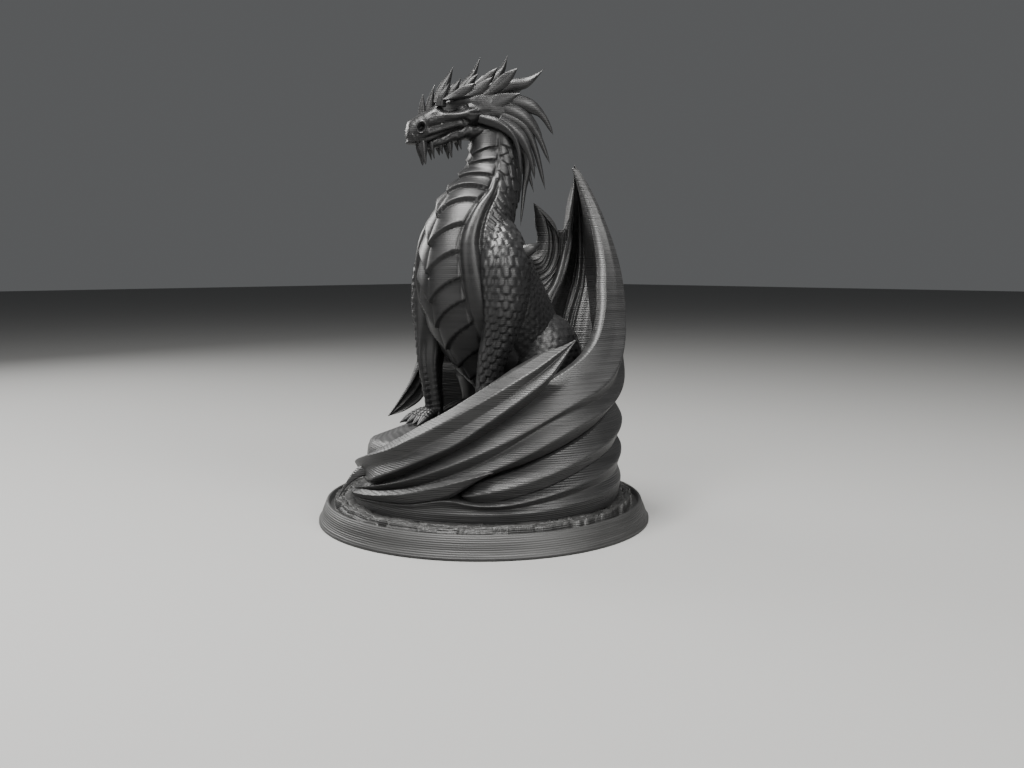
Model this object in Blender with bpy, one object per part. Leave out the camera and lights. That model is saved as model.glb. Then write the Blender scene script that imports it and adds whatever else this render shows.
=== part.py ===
"""Seated dragon statue on a round plinth, both parts of one small table piece.

Part frame: the origin is the centre of the plinth's underside, +Z is up, the
dragon's chest faces -Y and its own left side is +X.  The figure is measured in
142 shares of its own height, counted from its seat on the plinth.  Bearings
are degrees round the vertical axis, from +X towards +Y.
"""
import bpy
import bmesh
import math
from mathutils import Vector

# Figure, in metres: every share below is a share of its height
FIGURE_HEIGHT = 0.1420
FIGURE_SHARES = 142.0
SHARE = FIGURE_HEIGHT / FIGURE_SHARES
FOOT_RADIUS = 44.8 * SHARE

# Plinth, in metres, built outwards from the figure's foot
SLAB_REACH = 0.0048
GROOVE_WIDTH = 0.0019
RIM_WIDTH = 0.0009
PLINTH_FLARE = 0.0026
PLINTH_HEIGHT = 0.0070
GROOVE_DEPTH = 0.0018
SLAB_RISE = 0.0012
SLAB_COUNT = 28
SLAB_STEP = 0.0006
SLAB_CRACK = 0.0009
SLAB_RAGGED = 0.0016
SEAT_MARGIN = 0.0028
SEAT_GAP = 0.0003
SLAB_TOP = PLINTH_HEIGHT + SLAB_RISE
SLAB_RADIUS = FOOT_RADIUS + SLAB_REACH
PLINTH_TOP_RADIUS = SLAB_RADIUS + GROOVE_WIDTH + RIM_WIDTH
PLINTH_RADIUS = PLINTH_TOP_RADIUS + PLINTH_FLARE
SEAT = SLAB_TOP + SEAT_GAP

# Head, in shares and degrees
HEAD_PIVOT = Vector((0.0, 4.0, 119.5))
HEAD_YAW = 28.0

# Trunk and neck from the seat to the skull, in shares: each row gives the middle's place
# from front to back, its height, half the width, and the reach to the front and the back
TRUNK_STATIONS = (
    (20.0, 20.0, 10.0, 9.0, 9.0),
    (21.0, 30.0, 15.5, 13.5, 13.0),
    (16.0, 42.0, 18.0, 17.5, 16.0),
    (8.5, 54.0, 18.5, 21.5, 18.0),
    (0.5, 65.0, 19.0, 22.5, 18.5),
    (-3.5, 74.5, 18.6, 20.8, 17.0),
    (-5.0, 83.0, 16.0, 17.6, 15.0),
    (-4.2, 90.0, 12.9, 13.8, 13.6),
    (-0.2, 97.0, 10.5, 11.2, 12.2),
    (3.2, 104.0, 9.1, 9.6, 11.2),
    (4.6, 111.0, 8.4, 8.7, 10.0),
    (4.8, 118.0, 8.0, 8.0, 9.0),
    (4.8, 122.0, 5.0, 5.0, 6.0),
)

# Belly plates from the lowest up, in shares: each row gives the height of a lower edge, how
# far it stands out and how far it drops at the keel.  The plates are spread over the trunk
# from a little under its third station to a little over its tenth.
BELLY_PLATES = (
    (41.0, 1.2, 4.2),
    (47.0, 1.2, 4.2),
    (53.0, 1.2, 4.2),
    (59.3, 1.2, 4.2),
    (65.4, 1.2, 4.2),
    (70.4, 1.2, 4.2),
    (75.1, 1.2, 4.2),
    (80.8, 1.2, 4.2),
    (86.3, 1.2, 4.2),
    (91.5, 1.2, 4.2),
    (95.6, 1.1, 4.2),
    (100.7, 1.0, 4.2),
    (107.4, 0.9, 4.2),
)

PLATES_UNDER = 1.0
PLATES_OVER = 3.4

# Bearings from the keel where the plates and the ridges beside them end
PLATE_END = math.radians(45.0)
RIDGE_END = math.radians(70.0)
RIDGE_STEP = 1.1
FACET_SHARE = 0.60


def spline(points, count):
    """Even samples of a Catmull-Rom curve through tuples of any length."""
    out = []
    last = len(points) - 1
    for k in range(count):
        t = last * k / (count - 1)
        i = min(int(t), last - 1)
        f = t - i
        p0 = points[max(i - 1, 0)]
        p1 = points[i]
        p2 = points[i + 1]
        p3 = points[min(i + 2, last)]
        row = []
        for a, b, c, d in zip(p0, p1, p2, p3):
            row.append(0.5 * (2 * b + (c - a) * f + (2 * a - 5 * b + 4 * c - d) * f * f
                              + (3 * b - a - 3 * c + d) * f * f * f))
        out.append(row)
    return out


def sunk(height):
    """Heights at the seat carried a little below it, to be cut off level."""
    return height - 1.4 * max(0.0, 1.0 - height / 1.6)


def at(line, x):
    """Height of a measured line at a bearing, straight between its points."""
    if x <= line[0][0]:
        return line[0][1]
    for (x0, y0), (x1, y1) in zip(line, line[1:]):
        if x <= x1:
            return y0 + (y1 - y0) * (x - x0) / (x1 - x0)
    return line[-1][1]


def polar(bearing, radius, height):
    a = math.radians(bearing)
    return Vector((radius * math.cos(a), radius * math.sin(a), height))


def skin(rings):
    """Closed body through rings of equal point count, ends closed by fans."""
    bm = bmesh.new()
    rows = [[bm.verts.new(p) for p in ring] for ring in rings]
    count = len(rows[0])
    for low, high in zip(rows, rows[1:]):
        for i in range(count):
            j = (i + 1) % count
            bm.faces.new((low[i], low[j], high[j], high[i]))
    for row in (rows[0], rows[-1]):
        middle = sum((v.co for v in row), Vector()) / count
        centre = bm.verts.new(middle)
        for i in range(count):
            bm.faces.new((row[i], row[(i + 1) % count], centre))
    bmesh.ops.triangulate(bm, faces=bm.faces)
    bmesh.ops.recalc_face_normals(bm, faces=bm.faces)
    return bm


def frame_at(path, i, side):
    a = Vector(path[max(i - 1, 0)])
    b = Vector(path[min(i + 1, len(path) - 1)])
    along = (b - a).normalized()
    out = (side - along * side.dot(along)).normalized()
    return along, out, along.cross(out)


def limb(stations, count, sides, side=Vector((1.0, 0.0, 0.0))):
    """Round body: stations are x, y, z, half width and half depth."""
    rows = spline(stations, count)
    path = [row[:3] for row in rows]
    rings = []
    for i, row in enumerate(rows):
        along, out, deep = frame_at(path, i, side)
        ring = []
        for k in range(sides):
            a = 2 * math.pi * k / sides
            ring.append(Vector(row[:3]) + out * (math.cos(a) * max(row[3], 0.12))
                        + deep * (math.sin(a) * max(row[4], 0.12)))
        rings.append(ring)
    return skin(rings)


def spike(points, width, thick, flat=Vector((1.0, 0.0, 0.0)), count=5, sides=6, swell=0.35):
    """Curved spike tapering to its tip: flat is the direction it is thin in."""
    stations = []
    rows = spline(points, count)
    for i, row in enumerate(rows):
        t = i / (count - 1)
        size = (1.0 - t) ** 0.75 * (1.0 + swell * math.sin(math.pi * min(t * 1.6, 1.0)))
        stations.append((row[0], row[1], row[2], thick * size, width * size))
    return limb(stations, count, sides, flat)


def body_rings():
    """Trunk and neck, keeled in front, with the belly plates stepped down it."""
    last = len(TRUNK_STATIONS) - 1
    heights = [(row[1], i) for i, row in enumerate(TRUNK_STATIONS)]
    low_drop = BELLY_PLATES[0][2]
    high_drop = BELLY_PLATES[-1][2]
    marks = [(0.0, -0.2, low_drop), (1.0, -0.2, low_drop)]
    bottom = TRUNK_STATIONS[2][1] - PLATES_UNDER
    top = TRUNK_STATIONS[9][1] + PLATES_OVER
    first = BELLY_PLATES[0][0]
    spread = BELLY_PLATES[-1][0] - first
    for edge, stand, fall in BELLY_PLATES:
        t = at(heights, bottom + (top - bottom) * (edge - first) / spread)
        marks += [(t - 0.05, -0.3, fall), (t + 0.05, stand, fall)]
    marks += [(last - 0.6, -0.2, high_drop), (float(last), -0.2, high_drop)]
    marks.sort()
    sides = 22
    rings = []
    fine = spline(TRUNK_STATIONS, last * 50 + 1)
    for t, step, fall in marks:
        i = int(round(t * 50))
        y, z, wide, front, back = fine[i]
        y0, z0 = fine[max(i - 8, 0)][:2]
        y1, z1 = fine[min(i + 8, last * 50)][:2]
        size = math.hypot(y1 - y0, z1 - z0)
        ay, az = (y1 - y0) / size, (z1 - z0) / size
        ring = []
        for k in range(sides):
            a = 2 * math.pi * k / sides
            across = math.sin(a)
            deep = math.cos(a)
            reach = front if deep > 0 else back
            keel = 1.25 if deep > 0 else 1.0
            r = 1.0
            drop = 0.0
            turned = min(a, 2 * math.pi - a)
            if turned < PLATE_END:
                r += step / reach
                drop = -fall * (1.0 - turned / PLATE_END) ** 1.5
            elif turned < RIDGE_END:
                r += RIDGE_STEP / reach
            x = wide * math.copysign(abs(across) ** keel, across) * r
            d = reach * math.copysign(abs(deep) ** keel, deep) * r
            ring.append(Vector((x, y - d * az + drop * ay, z + d * ay + drop * az)))
        rings.append(ring)
    return rings


def head_axes():
    yaw = math.radians(HEAD_YAW)
    fore = Vector((-math.sin(yaw), -math.cos(yaw), 0.0))
    left = Vector((math.cos(yaw), -math.sin(yaw), 0.0))
    return fore, left, Vector((0.0, 0.0, 1.0))


def in_head(fore, side, up):
    """Point of the head: shares forward, to its left and up from the pivot."""
    f, s, u = head_axes()
    return HEAD_PIVOT + f * fore + s * side + u * up


def head_part(stations, count, sides):
    """Loft along the head: forward, middle height, half width, up and down."""
    rings = []
    for fore, mid, wide, rise, fall in spline(stations, count):
        ring = []
        for k in range(sides):
            a = 2 * math.pi * k / sides
            c = math.cos(a)
            s = math.sin(a)
            reach = rise if s > 0 else fall
            w = abs(c) ** 0.8 * (1 if c > 0 else -1) * wide
            ring.append(in_head(fore, w, mid + s * reach))
        rings.append(ring)
    return skin(rings)


def head_spike(points, width, thick, count=5, thin=(0.0, 1.0, 0.0), swell=0.35, sides=6):
    f, s, u = head_axes()
    flat = f * thin[0] + s * thin[1] + u * thin[2]
    return spike([tuple(in_head(*p)) for p in points], width, thick, flat, count, sides, swell)


def head_bodies():
    out = [head_part([
        (-9.0, 6.0, 2.5, 4.0, 4.0),
        (-5.0, 5.0, 6.5, 7.0, 6.0),
        (1.0, 5.5, 7.8, 7.2, 6.5),
        (7.0, 5.8, 7.4, 6.2, 6.2),
        (12.0, 4.0, 6.0, 5.6, 5.4),
        (17.0, 2.2, 4.8, 4.6, 5.4),
        (21.5, 0.2, 4.4, 4.6, 5.6),
        (25.5, -1.8, 4.1, 4.2, 4.6),
        (28.0, -3.0, 3.2, 3.0, 3.6),
        (28.9, -3.3, 1.6, 1.4, 1.8),
    ], 16, 14)]
    out.append(head_part([
        (-3.0, -2.0, 5.5, 3.5, 3.5),
        (4.0, -1.4, 5.6, 2.6, 2.8),
        (9.0, -1.9, 5.0, 2.2, 2.4),
        (14.4, -3.9, 4.0, 1.9, 1.8),
        (19.0, -5.7, 3.3, 1.5, 1.6),
        (21.8, -6.3, 1.8, 0.8, 1.0),
    ], 9, 10))
    for side in (1.0, -1.0):
        # Brow plates stepping back from the nose, then the long ribbed blade
        for root, mid, tip, wide in (
                ((19.0, 4.2, 5.6), (15.0, 5.4, 10.6), (12.4, 5.2, 14.3), 1.9),
                ((15.5, 5.2, 7.2), (11.6, 6.4, 10.0), (8.0, 6.6, 12.3), 1.9),
                ((11.0, 6.0, 8.4), (6.0, 6.8, 11.6), (2.0, 6.6, 14.3), 2.1),
                ((8.0, 5.6, 8.8), (0.4, 6.6, 12.4), (-6.4, 6.6, 18.0), 2.5),
                ((12.0, 3.0, 9.4), (8.2, 3.4, 13.2), (5.8, 3.2, 15.9), 1.5)):
            points = [(p[0], p[1] * side, p[2]) for p in (root, mid, tip)]
            out.append(head_spike(points, wide, 1.2, 4))
        # Large swept horn
        out.append(head_spike([(3.0, 4.4 * side, 8.6), (-4.0, 5.4 * side, 12.6),
                               (-9.0, 5.4 * side, 14.8), (-16.2, 5.0 * side, 18.8)],
                              2.6, 2.3, 6))
        # Cheek blade
        out.append(head_spike([(9.0, 5.6 * side, 3.0), (3.0, 7.6 * side, 5.2),
                               (-1.6, 8.2 * side, 6.9), (-7.6, 8.0 * side, 9.9)],
                              2.2, 1.5, 5))
        # Mane blades, falling from behind the jaw
        for root, mid, bend, tip, wide in (
                ((-3.0, 4.6, 8.0), (-10.5, 5.4, 6.8), (-15.5, 5.6, 3.6), (-19.2, 5.4, -2.2), 2.2),
                ((0.5, 6.0, 6.0), (-7.6, 7.0, 3.1), (-13.0, 7.2, -2.2), (-17.6, 7.0, -11.8), 2.2),
                ((1.0, 6.0, 3.6), (-7.5, 6.6, 0.8), (-12.2, 6.6, -6.0), (-16.3, 6.0, -20.0), 2.2),
                ((0.0, 7.0, 1.5), (-6.8, 8.2, -3.4), (-10.3, 8.4, -9.6), (-12.0, 8.0, -16.8), 1.9),
                ((6.0, 6.2, 2.2), (-1.6, 8.6, -0.8), (-5.8, 9.0, -6.2), (-7.4, 8.4, -16.4), 1.4)):
            points = [(p[0], p[1] * side, p[2]) for p in (root, mid, bend, tip)]
            out.append(head_spike(points, wide, 1.1, 6))
        # Fangs and chin spikes
        for fore, low, reach in ((22.2, -5.6, 12.4), (14.9, -5.0, 10.9), (11.4, -4.0, 7.9)):
            out.append(head_spike([(fore + 0.6, 1.9 * side, low + 0.8),
                                   (fore, 2.1 * side, (low - reach) * 0.5),
                                   (fore - 0.7, 2.2 * side, -reach)], 0.95, 0.8, 3, sides=5))
    # Crest along the middle of the skull
    for fore, low, back, high, wide in ((22.3, 3.4, 23.0, 9.8, 1.5), (19.6, 4.6, 19.0, 12.8, 2.0),
                                        (16.4, 7.0, 12.9, 18.6, 2.2), (9.6, 10.6, 3.9, 22.0, 2.4),
                                        (0.6, 11.6, -5.2, 23.2, 2.5)):
        mid = (fore * 0.55 + back * 0.45 - 0.5, 0.0, low * 0.55 + high * 0.45)
        out.append(head_spike([(fore, 0.0, low - 1.0), mid, (back, 0.0, high)], wide, 1.2, 4))
    return out


def leg_bodies():
    out = []
    for side in (1.0, -1.0):
        lean = 0.0 if side > 0 else 2.6
        out.append(limb([
            (14.0 * side, -4.0, 80.0, 3.5, 5.0),
            (15.6 * side, -6.0, 73.0, 6.8, 9.0),
            (15.6 * side, -6.5 - lean * 0.5, 63.0, 6.4, 8.2),
            (14.4 * side, -7.5 - lean, 53.0, 4.9, 6.0),
            (13.2 * side, -9.5 - lean, 44.0, 3.5, 4.2),
            (12.4 * side, -11.0 - lean * 0.4, 35.0, 2.7, 3.1),
            (12.4 * side, -11.4, 28.0, 2.8, 3.2),
            (12.6 * side, -12.6, 24.5, 3.2, 3.6),
        ], 11, 12))
        for spread in (-1.5, -0.4, 0.7, 1.6):
            knee = 12.6 * side + spread * 1.5
            out.append(limb([
                (12.6 * side + spread, -11.6, 26.6, 1.7, 1.7),
                (knee, -15.6, 26.2, 1.6, 1.5),
                (12.6 * side + spread * 2.3, -19.2, 24.8, 1.3, 1.2),
                (12.6 * side + spread * 2.8, -22.4, 23.4, 0.15, 0.15),
            ], 6, 6))
        # Haunch, shin and hind foot
        out.append(limb([
            (8.0 * side, 16.0, 58.0, 3.0, 5.0),
            (12.0 * side, 17.0, 52.0, 9.0, 12.5),
            (13.5 * side, 16.5, 43.0, 10.0, 14.5),
            (14.5 * side, 14.0, 33.0, 8.5, 12.0),
            (15.0 * side, 10.0, 26.0, 4.0, 6.0),
        ], 9, 12))
        out.append(limb([
            (15.0 * side, 20.0, 31.0, 4.2, 4.2),
            (15.6 * side, 10.0, 26.0, 3.9, 3.6),
            (16.0 * side, 2.0, 25.4, 3.6, 2.6),
            (16.4 * side, -4.5, 24.4, 1.6, 1.2),
        ], 6, 8))
    # Shoulder thumb spikes
    for side in (1.0, -1.0):
        out.append(spike([(14.0 * side, -3.0, 78.0), (18.6 * side, -0.5, 79.2),
                          (20.6 * side, 5.0, 82.0)], 2.0, 1.5, Vector((0, 0, 1)), 4))
    return out


# Measured lines of the swirl: bearing in degrees and height in shares
UPPER_TOP = [(178, 1.0), (215, 8.5), (253, 16.6), (275, 23.2), (300, 32.2), (315, 38.6),
             (337, 47.2), (348, 51.2), (357, 53.9)]
UPPER_CREST = [(178, 0.6), (215, 7.0), (244, 13.2), (273, 19.3), (291, 25.4), (314, 34.8),
               (337, 45.0), (348, 50.4), (357, 53.8)]
UPPER_GROOVE = [(178, 0.4), (215, 4.0), (255, 11.5), (280, 17.4), (305, 26.6), (325, 36.0),
                (343, 45.6), (357, 53.6)]
UPPER_CREST_TWO = [(178, 0.2), (215, 2.5), (260, 8.3), (280, 13.9), (305, 22.6), (323, 32.1),
                   (340, 41.2), (350, 48.4), (357, 53.4)]
SPAR_GROOVE = [(178, 0.0), (225, 1.5), (260, 6.0), (280, 11.4), (315, 23.3), (338, 34.6),
               (351, 39.5), (363, 41.4), (376, 43.6), (390, 50.0), (400, 62.0), (407, 76.0),
               (414, 90.0), (420, 101.0), (423, 108.6)]
SPAR_CREST = [(178, 0.0), (225, 1.0), (280, 10.0), (305, 17.0), (326, 24.0), (351, 33.9),
              (368, 37.4), (381, 41.7), (399, 52.4), (407, 63.6), (411, 75.1), (416, 87.4),
              (420, 99.1), (423, 108.4)]
SPAR_GROOVE_TWO = [(178, 0.0), (240, 1.0), (290, 9.5), (318, 17.8), (344, 29.8), (358, 32.5),
                   (375, 34.0), (396, 41.0), (410, 52.0), (418, 64.0), (423, 76.0), (426, 88.0),
                   (426, 99.0), (423, 108.2)]
SPAR_CREST_TWO = [(178, 0.0), (240, 0.6), (290, 7.4), (319, 14.8), (354, 27.2), (368, 30.0),
                  (390, 34.5), (410, 44.0), (422, 57.0), (428, 71.0), (429, 84.0), (427, 96.0),
                  (423, 108.0)]
SPAR_FOOT = [(178, 0.0), (240, 0.4), (269, 5.6), (300, 9.8), (332, 16.0), (351, 20.9),
             (376, 28.0), (395, 31.0), (420, 41.0), (433, 54.0), (437, 68.0), (434, 82.0),
             (429, 95.0), (423, 107.8)]
LOWER_TOP = [(307, 8.2), (310, 9.6), (313, 11.2), (318, 12.4), (332, 15.3), (347, 19.5),
             (363, 22.9), (384, 28.4), (405, 32.0), (435, 37.0), (465, 42.0), (495, 46.0),
             (520, 47.0)]
LOWER_CREST = [(307, 7.6), (318, 9.0), (326, 10.2), (344, 14.1), (374, 20.4), (399, 24.4),
               (435, 31.0), (465, 36.5), (495, 41.0), (520, 43.0)]
LOWER_GROOVE = [(307, 7.0), (309, 6.0), (311, 5.5), (318, 5.4), (323, 6.0), (330, 7.1),
                (338, 8.5), (366, 14.5), (399, 19.2), (435, 26.0), (465, 31.5), (495, 36.0),
                (520, 38.5)]
SKIRT_TOP = [(226, 0.3), (239, 1.0), (263, 3.2), (286, 5.0), (299, 7.3), (305, 7.8), (311, 7.2),
             (318, 7.4), (330, 9.2), (338, 10.6), (366, 16.6), (399, 21.2), (435, 28.0), (465, 33.5),
             (495, 38.0), (520, 40.5)]
SKIRT_CREST = [(226, 0.2), (239, 0.8), (263, 2.7), (286, 4.0), (299, 6.3), (305, 6.5), (310, 5.2),
               (318, 4.8), (326, 5.0), (359, 9.6), (382, 12.6), (399, 15.0), (435, 21.0),
               (465, 26.0), (495, 31.0), (520, 34.0)]
SKIRT_GROOVE = [(226, 0.1), (263, 1.8), (286, 2.8), (299, 4.2), (318, 3.4), (326, 3.4), (359, 6.6),
                (399, 9.4), (435, 14.0), (465, 19.0), (495, 24.0), (520, 28.0)]
SKIRT_CREST_TWO = [(226, 0.0), (263, 0.9), (296, 1.8), (335, 2.6), (374, 4.6), (399, 5.4),
                   (435, 9.0), (465, 14.0), (495, 19.0), (520, 23.0)]
SKIRT_FOOT = [(226, 0.0), (400, 0.0), (435, 3.0), (465, 7.0), (495, 11.0), (520, 15.0)]
CLAW_TOP = [(226, 0.8), (252, 4.7), (269, 6.4), (285, 8.8), (305, 13.1), (320, 15.6)]
CLAW_CREST = [(226, 0.5), (234, 1.6), (269, 5.2), (285, 7.4), (298, 10.4), (320, 15.4)]
CLAW_GROOVE = [(226, 0.2), (263, 3.0), (286, 4.5), (299, 7.0), (304, 8.4), (309, 10.6),
               (313, 12.4), (320, 15.2)]
CLAW_FOOT = [(226, 0.0), (265, 1.4), (285, 3.0), (299, 5.6), (304, 7.2), (309, 9.8), (313, 11.8),
             (320, 15.0)]
OUTER_RADIUS = [(178, 41.0), (225, 43.2), (250, 43.3), (315, 43.6), (352, 45.4), (376, 46.4), (405, 46.6)]
RISING_RADIUS = [(28, 46.2), (52, 46.5), (63, 46.9), (75, 45.7), (87, 42.5), (99, 38.0), (109, 31.8)]
LOWER_RADIUS = [(307, 44.0), (312, 44.8), (345, 45.6), (405, 46.0), (450, 45.0), (495, 42.5),
                (520, 40.0)]
SKIRT_RADIUS = [(226, 43.8), (263, 44.5), (288, 44.8), (300, 44.5), (320, 44.7), (345, 45.4), (405, 46.0), (450, 45.0),
                (495, 42.5), (520, 40.0)]
CLAW_RADIUS = [(226, 44.4), (240, 45.1), (285, 45.5), (300, 45.8), (320, 46.2)]


def even(inset):
    """Inset line of one value all the way."""
    return [(0, inset)]


def band(lines, radius, bearings, inner, inner_top):
    """Fluted helical band: lines run down its outer face, each with its own line of insets."""
    rings = []
    for b in bearings:
        ring = [polar(b, at(radius, b) - at(inset, b), sunk(at(line, b))) for line, inset in lines]
        low = ring[-1].z
        high = ring[0].z
        for k in range(3):
            t = k / 2
            reach = at(inner, b) if k < 2 else at(inner_top, b)
            ring.append(polar(b, reach, low + (high - low) * (0.04 + 0.9 * t)))
        rings.append(ring)
    return skin(rings)


def steps(first, last, count):
    return [first + (last - first) * k / (count - 1) for k in range(count)]


def swirl_bodies():
    out = []
    # Upper band ending in the claw at the dragon's left
    out.append(band([(UPPER_TOP, even(5.2)), (UPPER_CREST, [(230, 0.1), (300, 0.8)]),
                     (UPPER_GROOVE, even(2.6)), (UPPER_CREST_TWO, [(245, 3.8), (264, 0.0)]),
                     (SPAR_GROOVE_LOW, even(4.6))],
                    OUTER_RADIUS, steps(179, 356.6, 24),
                    [(178, 34), (330, 34), (348, 39), (357, 41.5)],
                    [(178, 35), (330, 35.5), (348, 39.5), (357, 42.0)]))
    # Band that carries the spar of the left wing
    out.append(spar_band())
    # Lower band, its nose at the front, rising round the back
    out.append(band([(LOWER_TOP, even(3.4)), (LOWER_CREST, even(0.2)), (LOWER_GROOVE, even(2.6))],
                    LOWER_RADIUS, steps(307.4, 317, 4) + steps(323, 526, 27),
                    [(307, 40), (313, 35.3), (320, 34), (400, 34), (520, 35)],
                    [(307, 40), (313, 35.3), (320, 34.6), (400, 35), (520, 36)]))
    # Skirt under it, running round from beneath the claw blade
    out.append(band([(SKIRT_TOP, even(5.5)), (SKIRT_CREST, even(0.0)),
                     (SKIRT_GROOVE, [(290, 0.7), (326, 2.2)]),
                     (SKIRT_CREST_TWO, [(290, 0.8), (326, 0.4)]),
                     (SKIRT_FOOT, [(290, 1.2), (326, 2.0)])],
                    SKIRT_RADIUS, steps(228, 526, 38), [(228, 31), (520, 32)],
                    [(228, 32), (520, 33)]))
    # Thin claw blade in front of the lower band
    out.append(band([(CLAW_TOP, even(2.0)), (CLAW_CREST, even(0.0)), (CLAW_GROOVE, even(1.1)),
                     (CLAW_FOOT, even(2.6))],
                    CLAW_RADIUS, steps(227, 319.5, 16),
                    [(226, 34), (285, 36), (300, 41), (310, 43.0), (320, 44.6)],
                    [(226, 38), (285, 39), (300, 41.6), (310, 43.2), (320, 44.8)]))
    return out


SPAR_GROOVE_LOW = [(178, 0.0), (225, 1.0), (260, 5.6), (280, 10.8), (315, 22.6), (338, 33.6),
                   (345, 38.6), (351, 44.2), (354.5, 49.0), (357, 53.2)]


def along_height(line, share):
    """Point of a line by its share of the way from start to end."""
    x0 = line[0][0]
    x1 = line[-1][0]
    return x0 + (x1 - x0) * share


def spar_point(line, share, inset):
    """Point of a spar line; past the swirl the share counts height instead."""
    turn = 0.62
    if share <= turn:
        b = 178 + (372 - 178) * share / turn
        z = at(line, b)
        radius = at(OUTER_RADIUS, b)
    else:
        z0 = at(line, 372)
        z = z0 + (line[-1][1] - z0) * (share - turn) / (1 - turn)
        flipped = [(h, a) for a, h in line if a >= 340]
        b = at(flipped, z)
        radius = at(RISING_RADIUS, z)
    return polar(b, radius - inset, sunk(z))


def spar_band():
    rings = []
    count = 40
    for k in range(count):
        s = k / (count - 1)
        fade = min(1.0, (1.0 - s) / 0.25)
        inset = 0.35 + 0.65 * fade
        ring = [spar_point(SPAR_EDGE, s, 6.2 * inset),
                spar_point(SPAR_GROOVE, s, 3.4 * inset),
                spar_point(SPAR_CREST, s, 0.0),
                spar_point(SPAR_GROOVE_TWO, s, 1.8 * inset),
                spar_point(SPAR_CREST_TWO, s, -0.2 * inset),
                spar_point(SPAR_FOOT, s, 1.6 * inset)]
        low = spar_point(SPAR_FOOT, s, 8.0 * inset)
        mid = spar_point(SPAR_GROOVE_TWO, s, 8.4 * inset)
        top = spar_point(SPAR_EDGE, s, 9.4 * inset)
        ring += [low, mid, top]
        rings.append(ring)
    return skin(rings)


SPAR_EDGE = [(178, 0.4), (225, 4.0), (280, 14.0), (315, 27.0), (338, 37.4), (351, 42.4),
             (361, 44.6), (380, 51.2), (394, 63.9), (405, 76.7), (414, 90.0), (420, 101.6),
             (423, 108.9)]


def leaf(curves, thick, away, count, fade=0.3):
    """Curved sheet through curves set side by side, thickened away from the front."""
    grid = [spline(c, count) for c in curves]
    rings = []
    for i in range(count):
        front = [Vector(c[i]) for c in grid]
        s = i / (count - 1)
        if (front[0] - front[-1]).length < 0.4:
            near = [Vector(c[1] if i == 0 else c[-2]) for c in grid]
            middle = sum(near, Vector()) / len(near)
            front = [p + (q - middle) * 0.06 for p, q in zip(front, near)]
        body = thick * max(0.12, min(1.0, (1.0 - s) / fade))
        back = []
        for p in front:
            out = Vector((p.x - away[0], p.y - away[1], 0.0)).normalized()
            back.append(p + out * body)
        rings.append(front + back[::-1])
    return skin(rings)


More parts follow.
